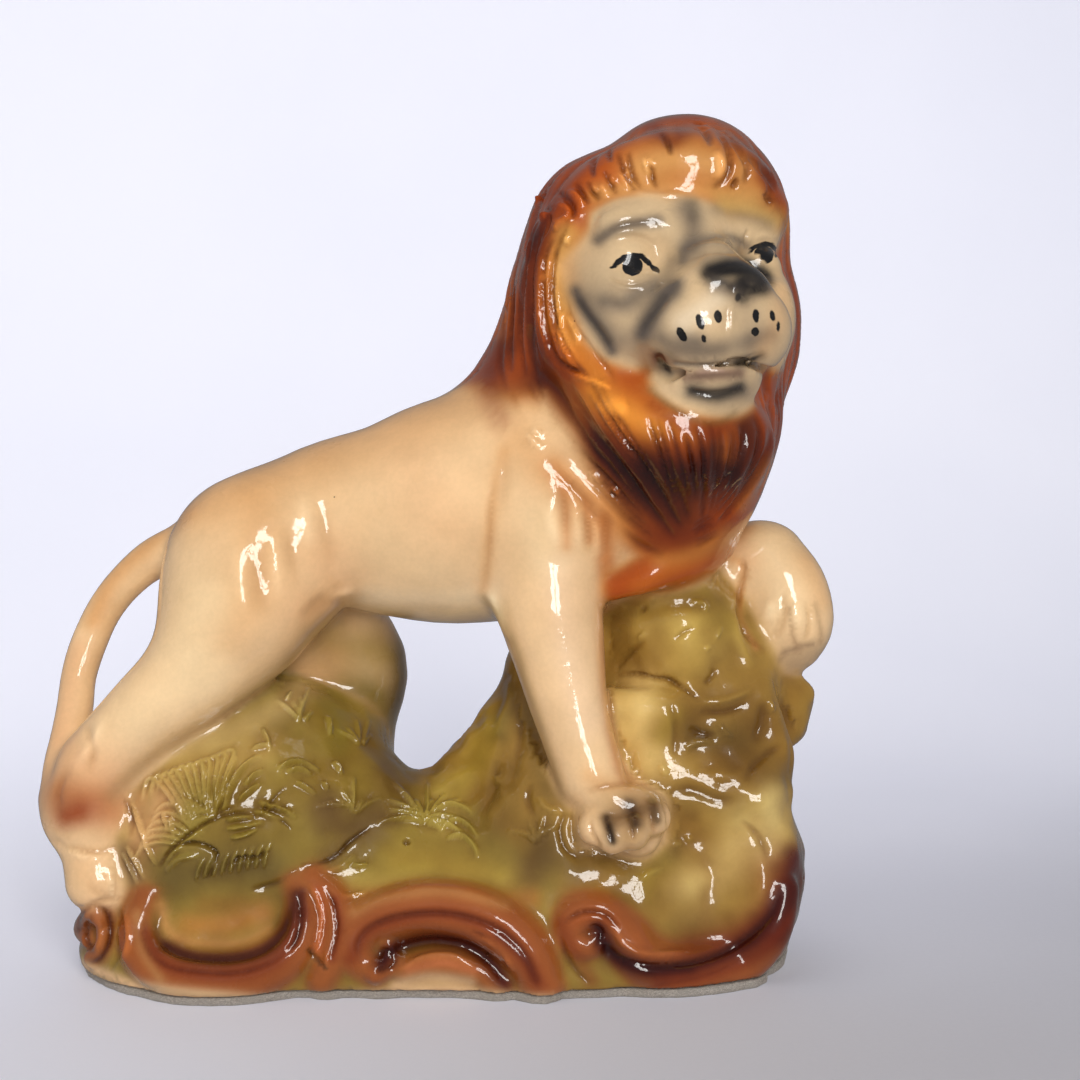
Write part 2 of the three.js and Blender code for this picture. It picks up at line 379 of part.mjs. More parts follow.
// ---- solids ----
const wasm = await Module();
wasm.setup();
const { Manifold, Mesh } = wasm;
function toManifold(pts, tris) {
  return new Manifold(new Mesh({ numProp: 3, vertProperties: new Float32Array(pts.flat()), triVerts: new Uint32Array(tris.flat()) }));
}
function boxSolid(size, centre) {   // a box from three.js with its corners shared
  const g = new THREE.BoxGeometry(...size); g.translate(...centre);
  const p = g.attributes.position, key = new Map(), pts = [], idx = [];
  for (let i = 0; i < p.count; i++) {
    const c = [p.getX(i), p.getY(i), p.getZ(i)], k = c.map((v) => v.toFixed(4)).join();
    if (!key.has(k)) { key.set(k, pts.length); pts.push(c); }
    idx.push(key.get(k));
  }
  const tris = []; for (let i = 0; i < g.index.count; i += 3) tris.push([0, 1, 2].map((s) => idx[g.index.getX(i + s)]));
  return toManifold(pts, tris);
}
function toMesh(solid, name, colour) {
  const m = solid.getMesh(), n = m.numProp, pos = [];
  for (let i = 0; i < m.vertProperties.length / n; i++) pos.push(m.vertProperties[i * n], m.vertProperties[i * n + 1], m.vertProperties[i * n + 2]);
  const g = new THREE.BufferGeometry();
  g.setAttribute('position', new THREE.Float32BufferAttribute(pos, 3));
  g.setIndex([...m.triVerts]);
  g.computeVertexNormals();
  const mesh = new THREE.Mesh(g, new THREE.MeshStandardMaterial({ color: colour }));
  mesh.name = name;
  return mesh;
}

const light = simplify(surface(), FIGURE_TRIANGLES);
const span = { x: REACH.x[1] - REACH.x[0] + 20, y: REACH.y[1] - REACH.y[0] + 20 };
const above = boxSolid([span.x, span.y, 300], [0, 0, FIGURE_BOTTOM + 150]);
const lion = Manifold.intersection(toManifold(light.pts, light.tris), above);

// ---- felt: follows the foot of the base, cut a little unevenly ----
function footRadius(angle) {   // where the foot of the base ends in this direction
  let lo = 10, hi = 130;
  for (let i = 0; i < 40; i++) {
    const r = (lo + hi) / 2;
    if (field(r * Math.cos(angle), r * Math.sin(angle), FIGURE_BOTTOM + 0.5) < 0) lo = r; else hi = r;
  }
  return lo;
}
const outline = new THREE.Shape();
for (let i = 0; i < FELT_POINTS; i++) {
  const a = (2 * Math.PI * i) / FELT_POINTS;
  const waver = FELT_WAVER * (0.6 * Math.sin(9 * a + 0.7) + 0.4 * Math.sin(23 * a + 2.1));
  const proud = FELT_PROUD * Math.exp(-((Math.atan2(Math.sin(a + 0.35), Math.cos(a + 0.35)) / 0.5) ** 2));
  const r = footRadius(a) - FELT_INSET + waver + proud;
  outline[i ? 'lineTo' : 'moveTo'](r * Math.cos(a), r * Math.sin(a));
}
outline.closePath();
const felt = new THREE.Mesh(
  new THREE.ExtrudeGeometry(outline, { depth: FELT_THICKNESS, bevelEnabled: false, curveSegments: 1 }),
  new THREE.MeshStandardMaterial({ color: 0x9a9184 }));
felt.name = 'felt_base_pad';

const part = new THREE.Group();
part.name = 'chalkware_lion_figure';
part.add(toMesh(lion, 'lion_figure', 0xd9a066), felt);
export default part;
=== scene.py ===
import math, time
import bpy
import numpy as np
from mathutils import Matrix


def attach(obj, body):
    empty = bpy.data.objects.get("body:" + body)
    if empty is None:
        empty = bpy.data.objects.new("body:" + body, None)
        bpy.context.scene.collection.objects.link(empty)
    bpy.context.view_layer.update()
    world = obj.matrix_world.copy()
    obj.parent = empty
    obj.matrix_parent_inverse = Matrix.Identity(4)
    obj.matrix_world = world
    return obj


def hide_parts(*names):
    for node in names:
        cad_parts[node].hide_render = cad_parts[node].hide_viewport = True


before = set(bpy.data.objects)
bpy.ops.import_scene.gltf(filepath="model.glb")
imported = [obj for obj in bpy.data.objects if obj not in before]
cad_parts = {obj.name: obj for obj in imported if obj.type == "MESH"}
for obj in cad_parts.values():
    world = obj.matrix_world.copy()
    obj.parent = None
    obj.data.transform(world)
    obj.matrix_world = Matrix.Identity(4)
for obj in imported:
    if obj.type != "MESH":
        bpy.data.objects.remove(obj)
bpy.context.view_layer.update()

T0 = time.time()
MM = 0.001

# ---------------------------------------------------------------- where the figure is seen from
FOCAL = 1667.0                      # pixels, for a 1080 pixel frame
HEADING, DOWN = math.radians(6.0), math.radians(2.35)
EYE = np.array([28.0 - 450.0 * math.sin(HEADING), -450.0 * math.cos(HEADING), 130.0])
E_RIGHT = np.array([math.cos(HEADING), -math.sin(HEADING), 0.0])
E_FWD = np.array([math.sin(HEADING) * math.cos(DOWN), math.cos(HEADING) * math.cos(DOWN), -math.sin(DOWN)])
E_UP = np.cross(E_RIGHT, E_FWD)


def seen(p):
    """Front-view coordinates (across, down) and depth of points in mm."""
    q = p - EYE
    z = q @ E_FWD
    return 540 + FOCAL * (q @ E_RIGHT) / z, 540 - FOCAL * (q @ E_UP) / z, z


# ---------------------------------------------------------------- 1 the form: named masses, mm
# group, name, add or cut, blend, kind, sizes
FORM = [
    # mound
    ('base', 'mound', 'add', 0, 'limb', [[-57, 0, 5, 37], [-30, 1, 4, 39], [5, 0, 3, 42], [34, 0, 2, 45], [55, 1, 4, 40]]),
    # rock
    ('rock', 'rock_back', 'add', 12, 'ball', [50.6, 8, 58.3], [32, 24, 38]),
    ('rock', 'rock_top', 'add', 8, 'ball', [63.7, -3, 84.3], [20, 24, 23]),
    ('rock', 'rock_shoulder', 'add', 6, 'ball', [76.5, 0, 79.8], [19, 21, 19]),
    ('rock', 'rock_a', 'add', 5, 'block', [56, -10, 61.5], [13, 19, 14], 6, [8, 4, -16]),
    ('rock', 'rock_b', 'add', 5, 'block', [73.8, -8, 61.5], [14, 20, 14], 6, [-8, -14, 10]),
    ('rock', 'rock_c', 'add', 4.5, 'block', [86.6, 1, 67.7], [11.5, 17.5, 9.5], 6, [4, 14, 16]),
    ('rock', 'rock_d', 'add', 7, 'block', [70.2, -10, 44.6], [22, 24, 15], 10, [10, 6, -6]),
    ('rock', 'rock_bulge', 'add', 8, 'ball', [78.3, -7, 21.4], [18.5, 34, 25], [0, 8, 6]),
    ('rock', 'slope', 'add', 7, 'limb', [[-20.7, 0, 22.8, 14], [0.8, 1, 31.3, 16], [15.5, 0, 43.8, 16.5], [24.5, -2, 57, 14.5], [31.3, -2, 69.4, 13.5], [34, 0, 80.3, 14]]),
    ('rock', 'paw_shelf', 'add', 9, 'ball', [44.8, -20, 23.3], [26, 22, 16]),
    ('rock', 'leg_shelf', 'add', 9, 'ball', [31.8, -14, 38.1], [20, 20, 22]),
    # mound
    ('base', 'rise', 'add', 10, 'limb', [[-74.9, -10, 29.2, 15], [-61.8, -13, 37.4, 19], [-45.2, -12, 40.7, 21], [-24.6, -4, 37.3, 20]]),
    ('base', 'rise_top', 'add', 10, 'limb', [[-71.4, -6, 46.1, 13], [-58.5, -6, 52.2, 15], [-44.4, -2, 57.4, 17], [-30.1, 8, 54.7, 16]]),
    # body, legs and tail
    ('body', 'trunk', 'add', 6, 'limb', [[-46.3, 0, 106.5, 22], [-28.3, 0, 116, 21.5], [-9.7, 0, 117.3, 26], [6.4, 0, 119.7, 30.5], [25.3, 0, 122.3, 31.5], [40, -2, 126.4, 31]]),
    ('body', 'haunch_near', 'add', 10, 'ball', [-49.2, -11, 102.5], [21.5, 19, 26], [0, 20, 0]),
    ('body', 'haunch_far', 'add', 10, 'ball', [-48.2, 13, 99], [21, 17, 25], [0, 20, 0]),
    ('body', 'leg_near', 'add', 6, 'limb', [[-53, -15, 92.5, 17.5], [-62.9, -19, 79.2, 12.8], [-74.5, -20, 69, 10], [-86.8, -17, 56.2, 9.5]]),
    ('body', 'foot_near', 'add', 5, 'limb', [[-89.7, -15, 48.7, 9.5], [-88.3, -18, 37.8, 8], [-86.5, -21, 26.9, 8]]),
    ('body', 'leg_far', 'add', 7, 'limb', [[-37, 16, 91.8, 18], [-22.8, 18, 77, 15], [-23.4, 18, 62.2, 13], [-27.6, 16, 44.4, 13]]),
    ('body', 'tail', 'add', 3, 'limb', [[-56.1, 2, 113.7, 9], [-66.7, 3, 109.7, 7], [-75.4, 4, 106.5, 5.6], [-82.8, 4, 100.1, 4.9], [-88.1, 4, 93, 4.7], [-91.9, 3, 84.6, 4.6], [-94.3, 1, 76.3, 4.5], [-94.7, -3, 69, 4.6], [-95.4, -7, 61.7, 4.9], [-96.2, -10, 54.4, 5.5], [-95.9, -12, 47, 6.5]]),
    ('body', 'tail_tuft', 'add', 4, 'ball', [-89.1, -16, 42.8], [12, 10, 11]),
    ('body', 'shoulder', 'add', 12, 'ball', [25, -16, 121.3], [15, 14, 27]),
    ('body', 'arm_near', 'add', 4, 'limb', [[27.1, -16, 112.2, 15.5], [28.1, -21, 96.9, 14], [30.5, -25, 81.8, 11.5], [33.4, -29, 66.9, 9.4], [37.4, -32, 53.3, 8.7]]),
    ('body', 'paw_near', 'add', 2.5, 'block', [45.8, -34, 43.3], [10.8, 9.5, 8.6], 6.5, [0, 22, -8]),
    ('body', 'toe_1', 'add', 2, 'ball', [37.2, -41, 41.7], [4.1, 4.8, 4.4]),
    ('body', 'toe_2', 'add', 2, 'ball', [41.5, -44, 40.2], [4.1, 4.8, 4.4]),
    ('body', 'toe_3', 'add', 2, 'ball', [46.5, -45, 41.3], [4.2, 5, 4.5]),
    ('body', 'toe_4', 'add', 2, 'ball', [52.1, -43, 44.3], [4, 4.7, 4.3]),
    ('body', 'arm_far', 'add', 5, 'limb', [[59.1, 6, 100.7, 17], [74.2, 4, 101, 13.5], [86.2, -1, 104.2, 11.6]]),
    ('body', 'paw_far', 'add', 4, 'limb', [[89.9, -3, 105.4, 10.8], [93.3, -6, 98.5, 11.8], [94.5, -8, 90.5, 12.2], [94.6, -9, 85.7, 9.8]]),
    ('body', 'chest', 'add', 8, 'limb', [[40.8, -6, 122.4, 27], [53.7, -10, 117.2, 19], [60.1, -16, 109.4, 11]]),
    # mane
    ('mane', 'fringe', 'add', 5, 'limb', [[44.7, -27, 100.3, 2.6], [53.3, -28, 103.6, 4.2], [62.9, -25, 107.5, 4.4], [72.2, -18, 110.8, 4]]),
    ('mane', 'mane_core', 'add', 4, 'ball', [59, 0, 169.7], [42, 31.5, 43], [0, 0, 19]),
    ('mane', 'crown', 'add', 8, 'ball', [66.6, 0, 201.8], [25.5, 27, 24]),
    ('mane', 'crown_right', 'add', 6, 'ball', [83.3, 2, 196.4], [11.5, 20, 17]),
    ('mane', 'temple', 'add', 8, 'ball', [43.4, -2, 195.2], [17.5, 23, 18]),
    ('mane', 'beard', 'add', 6, 'limb', [[58.8, -8, 145.1, 32.5], [59.4, -15, 133.6, 27], [61.3, -18, 123.1, 19.5], [63.1, -20, 114.8, 11]]),
    ('mane', 'nape', 'add', 8, 'limb', [[42.4, 6, 167.3, 20], [34, 5, 152.8, 22], [29.7, 3, 138.6, 26]]),
    # face
    ('face', 'skull', 'add', 3, 'ball', [56.5, -16.9, 177], [28, 19.5, 26], [-8, 0, 19]),
    ('face', 'forehead', 'add', 5, 'ball', [58.6, -20, 190.7], [21, 12, 11], [-8, 0, 19]),
    ('face', 'brow', 'add', 7, 'ball', [49.4, -31.6, 191.1], [10.5, 5.3, 5.2], [-8, 0, 19]),
    ('face', 'cheek', 'add', 9, 'ball', [45.6, -32.9, 170.1], [10.5, 12, 14], [-8, 0, 19]),
    ('face', 'brow', 'add', 7, 'ball', [76.7, -22.2, 191.1], [10.5, 5.3, 5.2], [-8, 0, 19]),
    ('face', 'cheek', 'add', 9, 'ball', [81.1, -21.9, 170.2], [10.5, 12, 14], [-8, 0, 19]),
    ('face', 'bridge', 'add', 8, 'limb', [[60.8, -23.3, 192.2, 9.5], [63.7, -32.7, 182.5, 9.2], [66, -40.2, 177.5, 9]]),
    ('face', 'muzzle', 'add', 7, 'ball', [66.8, -40.6, 165.5], [17.5, 13.5, 12.5], [-8, 0, 19]),
    ('face', 'muzzle_lobe', 'add', 9, 'ball', [61.4, -46.5, 164], [9.8, 9.6, 9.2], [-8, 0, 19]),
    ('face', 'muzzle_lobe', 'add', 9, 'ball', [74.6, -41.9, 164], [9.8, 9.6, 9.2], [-8, 0, 19]),
    ('face', 'nose', 'add', 4, 'ball', [68.3, -46.3, 174.8], [10.6, 7.4, 6], [-8, 0, 19]),
    ('face', 'chin', 'add', 6, 'ball', [64.7, -40.9, 150.8], [11, 10.5, 8.2], [-8, 0, 19]),
    ('face', 'lip', 'add', 2.5, 'limb', [[58.5, -47.2, 151.7, 2.4], [68.1, -49, 152.9, 3], [75.6, -41.8, 151.9, 2.4]]),
    ('face', 'socket', 'cut', 4.5, 'ball', [48.7, -41.4, 184.6], [6.8, 3, 4], [-8, 0, 19]),
    ('face', 'eyeball', 'add', 2, 'ball', [46.7, -35.4, 182.7], [5.6, 5, 4.4], [-8, 0, 19]),
    ('face', 'socket', 'cut', 4.5, 'ball', [84.2, -29.7, 184.7], [6.8, 3, 4], [-8, 0, 19]),
    ('face', 'eyeball', 'add', 2, 'ball', [82.2, -23.9, 182.8], [5.6, 5, 4.4], [-8, 0, 19]),
    ('face', 'mouth', 'cut', 2, 'limb', [[51.9, -45, 152.8, 1.9], [59.3, -49.6, 154.7, 1.3], [69.5, -51.8, 157, 1.1], [77.4, -45.4, 155.9, 1.2], [81, -36, 156.5, 1.5]]),
    # mane
    ('mane', 'quiff', 'add', 6, 'limb', [[32.5, -21.1, 192.3, 6], [40.6, -22.1, 199.9, 8], [51.7, -20.7, 205.4, 9.5], [64.2, -23.4, 206.7, 10], [76.3, -21.9, 204.1, 8.5], [85, -18.5, 198.6, 5.5]]),
    ('mane', 'roll_left', 'add', 6, 'limb', [[32, -25.3, 191.7, 6], [28.1, -20.6, 183.6, 6], [28.4, -23.2, 172.4, 6.5], [32.9, -26.2, 161.3, 7], [40.3, -31.7, 151.5, 7], [49.3, -35.9, 144.3, 7], [56.9, -38.4, 139.3, 7]]),
    ('mane', 'beard_front', 'add', 9, 'limb', [[48.9, -38.6, 138.8, 9], [61.2, -39.9, 135.3, 10], [73.7, -34.7, 136.9, 9]]),
    # scrolls of the base
    ('scroll', 'u_bowl', 'cut', 4, 'limb', [[-67, -39.1, 22.1, 9], [-56.2, -42.9, 20.3, 11], [-44.4, -40.6, 22.3, 9]]),
    ('scroll', 'u_rim', 'add', 3, 'limb', [[-73.5, -27.9, 23.3, 3], [-75.6, -28.8, 16.5, 4.4], [-73.4, -31.6, 10.5, 5.4], [-66, -34.9, 7, 6], [-53.8, -36.1, 5.7, 6.2], [-42.8, -36.2, 8.4, 6], [-36.2, -35.1, 14.1, 5.4], [-34.8, -32.3, 20.8, 4.4], [-36.1, -29.9, 25.8, 3]]),
    ('scroll', 'strut', 'add', 2, 'limb', [[-32.1, -30.4, 27.3, 2.8], [-27.1, -32.3, 23.1, 3.8], [-25.1, -35.5, 16.4, 4.2], [-27.6, -37, 9.9, 4], [-30.1, -37.2, 5, 3.6]]),
    ('scroll', 'arch', 'add', 3, 'limb', [[-16.8, -38.4, 6.5, 3.2], [-21.7, -37.8, 11.4, 4.2], [-19.2, -36.1, 17.4, 5.2], [-10.3, -35.7, 20.8, 6.4], [1.6, -36.9, 21.1, 7], [12.6, -39.8, 17.7, 7], [20.5, -42.6, 11.3, 6.2], [24.1, -43.8, 3.6, 5]]),
    ('scroll', 'arch_curl', 'add', 1.5, 'limb', [[-16.8, -41.2, 7.3, 2.6], [-12.6, -39.7, 9.2, 2.4], [-13.8, -38.9, 12.8, 2]]),
    ('scroll', 'arch_lip', 'add', 2, 'limb', [[-9.7, -39.6, 7.6, 3], [-1.1, -40.3, 9.1, 3.4], [8.2, -41.8, 7.2, 3.2], [13.6, -42.8, 2.9, 2.8]]),
    ('scroll', 'volute', 'add', 3, 'limb', [[38.3, -43.9, 14.9, 2.2], [34.8, -43.9, 13, 2.8], [31, -42.8, 15.6, 3.6], [33, -42.2, 20.1, 4.2], [39.2, -42.8, 20.6, 4.4], [44.5, -42.8, 15.9, 4.6], [49.6, -42.2, 8.5, 6], [61.9, -38.7, 3.8, 6.6], [75.5, -35.1, 5.7, 6.4], [82.5, -38.6, 14.1, 5.4], [86.2, -37.9, 24.1, 3.6]]),
    ('scroll', 'end_curl', 'add', 1.5, 'limb', [[-88.3, -18.3, 11.4, 3], [-91.8, -10.2, 11.9, 2.6], [-87, -24.2, 19.4, 2.6], [-84.2, -23.3, 16.5, 2.8], [-84.2, -23.8, 11.1, 2.8], [-87.8, -20, 6.8, 2.6]]),
]
UNEVEN = [[0.22, 0.071, 0.053, 0.064, 0.4], [0.16, 0.118, 0.097, 0.083, 1.9], [0.09, 0.191, 0.172, 0.213, 4.1]]
FOOT = 2.3                          # bottom of the casting; the felt is below it
LO, HI = np.array([-112.0, -66.0, -2.0]), np.array([118.0, 58.0, 234.0])
GROUPS = ["base", "rock", "body", "mane", "face", "scroll"]


def turned(rx, ry, rz):
    rx, ry, rz = map(math.radians, (rx, ry, rz))
    X = np.array([[1, 0, 0], [0, math.cos(rx), -math.sin(rx)], [0, math.sin(rx), math.cos(rx)]])
    Y = np.array([[math.cos(ry), 0, math.sin(ry)], [0, 1, 0], [-math.sin(ry), 0, math.cos(ry)]])
    Z = np.array([[math.cos(rz), -math.sin(rz), 0], [math.sin(rz), math.cos(rz), 0], [0, 0, 1]])
    return (Z @ Y @ X).astype(np.float32)


def curve(pts, n=4):
    """Points along a smooth line through pts; any extra columns are carried along."""
    P = np.asarray(pts, float)
    if len(P) < 3:
        return P
    E = np.vstack([2 * P[0] - P[1], P, 2 * P[-1] - P[-2]])
    out = []
    for i in range(1, len(E) - 2):
        for t in np.linspace(0, 1, n, endpoint=False):
            a, b, c, d = E[i - 1:i + 3]
            out.append(0.5 * ((2 * b) + (c - a) * t + (2 * a - 5 * b + 4 * c - d) * t * t + (3 * b - a - 3 * c + d) * t ** 3))
    out.append(E[-2])
    return np.array(out)


def d_ball(p, c, r, R):
    q = p - c
    if R is not None:
        q = q @ R
    a = q / r
    b = a / r
    k0 = np.sqrt((a * a).sum(-1))
    k1 = np.sqrt((b * b).sum(-1))
    return k0 * (k0 - 1) / np.maximum(k1, 1e-6)


def d_block(p, c, h, rr, R):
    q = p - c
    if R is not None:
        q = q @ R
    q = np.abs(q) - (h - np.float32(rr))
    return np.sqrt((np.maximum(q, 0) ** 2).sum(-1)) + np.minimum(q.max(-1), 0) - np.float32(rr)


def d_cone(p, a, b, ra, rb):
    ba = b - a
    l2 = float(ba @ ba)
    if l2 < 1e-6:
        return np.sqrt(((p - a) ** 2).sum(-1)) - max(ra, rb)
    rr = ra - rb
    a2 = l2 - rr * rr
    il2 = 1.0 / l2
    if a2 <= 0:
        return np.minimum(np.sqrt(((p - a) ** 2).sum(-1)) - ra, np.sqrt(((p - b) ** 2).sum(-1)) - rb)
    pa = p - a
    y = pa @ ba
    z = y - l2
    pp = (pa * pa).sum(-1)
    x2 = np.maximum(pp * l2 * l2 - y * y * l2, 0)
    y2 = y * y * l2
    z2 = z * z * l2
    k = math.copysign(rr * rr, rr) * x2
    out = (np.sqrt(x2 * a2 * il2) + y * rr) * il2 - ra
    out = np.where(np.sign(y) * a2 * y2 < k, np.sqrt(x2 + y2) * il2 - ra, out)
    return np.where(np.sign(z) * a2 * z2 > k, np.sqrt(x2 + z2) * il2 - rb, out)


def smin(a, b, k):
    if k <= 0:
        return np.minimum(a, b)
    h = np.maximum(k - np.abs(a - b), 0) / k
    return np.minimum(a, b) - h * h * (k * 0.25)


class Mass:
    def __init__(s, group, name, op, k, kind, *size):
        s.group, s.name, s.add, s.k, s.kind = group, name, op == "add", float(k), kind
        f32 = lambda v: np.array(v, np.float32)
        if kind == "limb":
            q = curve(size[0], 4)
            s.A, s.B = f32(q[:-1, :3]), f32(q[1:, :3])
            s.ra, s.rb = np.maximum(q[:-1, 3], 0.05), np.maximum(q[1:, 3], 0.05)
            lo, hi = (q[:, :3] - q[:, 3:]).min(0), (q[:, :3] + q[:, 3:]).max(0)
            s.cen, s.rad = (lo + hi) / 2, float(np.linalg.norm(hi - lo) / 2)
        elif kind == "ball":
            s.c, s.r, s.R = f32(size[0]), f32(size[1]), turned(*size[2]) if len(size) > 2 else None
            s.cen, s.rad = np.array(size[0], float), float(max(size[1]))
        else:
            s.c, s.r, s.rr, s.R = f32(size[0]), f32(size[1]), size[2], turned(*size[3]) if len(size) > 3 else None
            s.cen, s.rad = np.array(size[0], float), float(np.linalg.norm(size[1]))

    def parts(s, c, R):
        """The parts that can be the nearest within R of c, or None when all of it is too far to matter."""
        if s.kind != "limb":
            return [0]
        ab = s.B - s.A
        t = np.clip(((c - s.A) * ab).sum(1) / np.maximum((ab * ab).sum(1), 1e-6), 0, 1)
        d = np.linalg.norm(c - s.A - ab * t[:, None], axis=1)
        keep = np.where(d - np.maximum(s.ra, s.rb) <= (d - np.minimum(s.ra, s.rb)).min() + 2 * R + 0.2)[0]
        return keep

    def d(s, p, parts=None):
        if s.kind == "ball":
            return d_ball(p, s.c, s.r, s.R)
        if s.kind == "block":
            return d_block(p, s.c, s.r, s.rr, s.R)
        out = None
        for i in (range(len(s.A)) if parts is None else parts):
            v = d_cone(p, s.A[i], s.B[i], s.ra[i], s.rb[i])
            out = v if out is None else np.minimum(out, v)
        return out


MASSES = [Mass(*row) for row in FORM]


def near(c, R, band=6.0):
    """The masses that matter within R of c, each with its parts."""
    out = []
    c = np.asarray(c, np.float32)
    for m in MASSES:
        if np.linalg.norm(m.cen - c) - m.rad > R + band + m.k:
            continue
        parts = m.parts(c, R)
        if float(m.d(c[None], parts)[0]) > 1.3 * R + band + m.k:
            continue
        out.append((m, parts))
    return out


def field(p, some=None):
    f = np.full(len(p), 1e3, np.float32)
    for m, parts in (some if some is not None else [(m, None) for m in MASSES]):
        v = m.d(p, parts).astype(np.float32)
        f = smin(f, v, m.k) if m.add else -smin(-f, v, m.k)
    for a, u, v, w, ph in UNEVEN:
        f += (a * np.sin(u * p[:, 0] + ph) * np.cos(v * p[:, 1] + 2 * ph) * np.sin(w * p[:, 2] + 3 * ph)).astype(np.float32)
    return f


def by_cells(P, size, fn, width=1):
    """fn(points, cell centre, cell radius) for points sorted into cells."""
    out = np.zeros((len(P), width), np.float32)
    key = np.floor((P - LO) / size).astype(np.int64)
    flat = (key[:, 0] * 4096 + key[:, 1]) * 4096 + key[:, 2]
    order = np.argsort(flat, kind="stable")
    cuts = np.flatnonzero(np.diff(flat[order])) + 1
    for idx in np.split(order, cuts):
        q = P[idx]
        lo, hi = q.min(0), q.max(0)
        c = (lo + hi) / 2
        out[idx] = fn(q.astype(np.float32), c, float(np.linalg.norm(hi - lo) / 2)).reshape(len(idx), width)
    return out


def skin_at(P):
    return by_cells(P, 20.0, lambda q, c, R: np.maximum(field(q, near(c, R)), FOOT - q[:, 2]))[:, 0]


def grid_field(h, block=14):
    n = np.ceil((HI - LO) / h / block).astype(int)
    G = np.full(tuple(n * block + 1), 1e3, np.float32)
    ax = [LO[i] + (np.arange(n[i]) + 0.5) * block * h for i in range(3)]
    C = np.stack(np.meshgrid(*ax, indexing="ij"), -1).reshape(-1, 3)
    R = block * h * math.sqrt(3) / 2
    fc = np.maximum(field(C.astype(np.float32)), (FOOT - C[:, 2]).astype(np.float32))
    g = (np.arange(block + 1) - block / 2) * h
    loc = np.stack(np.meshgrid(g, g, g, indexing="ij"), -1).reshape(-1, 3)
    for bi, (c, v) in enumerate(zip(C, fc)):
        i, j, k = np.unravel_index(bi, tuple(n))
        sl = tuple(slice(a * block, a * block + block + 1) for a in (i, j, k))
        if abs(v) > R * 1.5 + 3:
            if v < 0:
                G[sl] = np.where(np.abs(G[sl]) < 1e3, G[sl], -1e3)
            continue
        p = (loc + c).astype(np.float32)
        f = np.maximum(field(p, near(c, R)), FOOT - p[:, 2])
        G[sl] = f.reshape(block + 1, block + 1, block + 1)
    return G


def surface_nets(G, h):
    S = G < 0
    n = np.array(G.shape) - 1
    corner = np.array([(a, b, c) for a in (0, 1) for b in (0, 1) for c in (0, 1)])
    tot = sum(S[a:n[0] + a, b:n[1] + b, c:n[2] + c].astype(np.int8) for a, b, c in corner)
    act = (tot > 0) & (tot < 8)
    idx = np.full(act.shape, -1, np.int64)
    ijk = np.argwhere(act)
    idx[act] = np.arange(len(ijk))
    vals = [G[ijk[:, 0] + a, ijk[:, 1] + b, ijk[:, 2] + c] for a, b, c in corner]
    acc, cnt = np.zeros((len(ijk), 3)), np.zeros(len(ijk))
    for a in range(8):
        for b in range(a + 1, 8):
            if np.abs(corner[a] - corner[b]).sum() != 1:
                continue
            va, vb = np.clip(vals[a], -3 * h, 3 * h), np.clip(vals[b], -3 * h, 3 * h)
            m = (va < 0) != (vb < 0)
            t = (va / np.where(m, va - vb, 1))[m][:, None]
            acc[m] += corner[a] + t * (corner[b] - corner[a])
            cnt[m] += 1
    V = LO + (ijk + acc / cnt[:, None]) * h
    quads = []
    for axis in range(3):
        s0 = S[tuple(slice(0, -1) if a == axis else slice(None) for a in range(3))]
        s1 = S[tuple(slice(1, None) if a == axis else slice(None) for a in range(3))]
        o = [a for a in range(3) if a != axis]
        e = np.argwhere(s0 != s1)
        ok = (e[:, o[0]] > 0) & (e[:, o[1]] > 0) & (e[:, o[0]] < act.shape[o[0]]) & (e[:, o[1]] < act.shape[o[1]])
        e = e[ok]
        inside = s0[tuple(e.T)]
        ring = []
        for da, db in ((0, 0), (1, 0), (1, 1), (0, 1)):
            q = e.copy()
            q[:, o[0]] -= da
            q[:, o[1]] -= db
            ring.append(idx[tuple(q.T)])
        q = np.stack(ring, 1)
        flip = inside if axis != 1 else ~inside
        q[~flip] = q[~flip][:, ::-1]
        quads.append(q)
    Q = np.concatenate(quads)
    return V, np.concatenate([Q[:, [0, 1, 2]], Q[:, [0, 2, 3]]])


def normals(V, T):
    n = np.cross(V[T[:, 1]] - V[T[:, 0]], V[T[:, 2]] - V[T[:, 0]])
    N = np.zeros_like(V)
    for i in range(3):
        for c in range(3):
            N[:, c] += np.bincount(T[:, i], n[:, c], len(V))
    return N / np.maximum(np.linalg.norm(N, axis=1, keepdims=True), 1e-9)


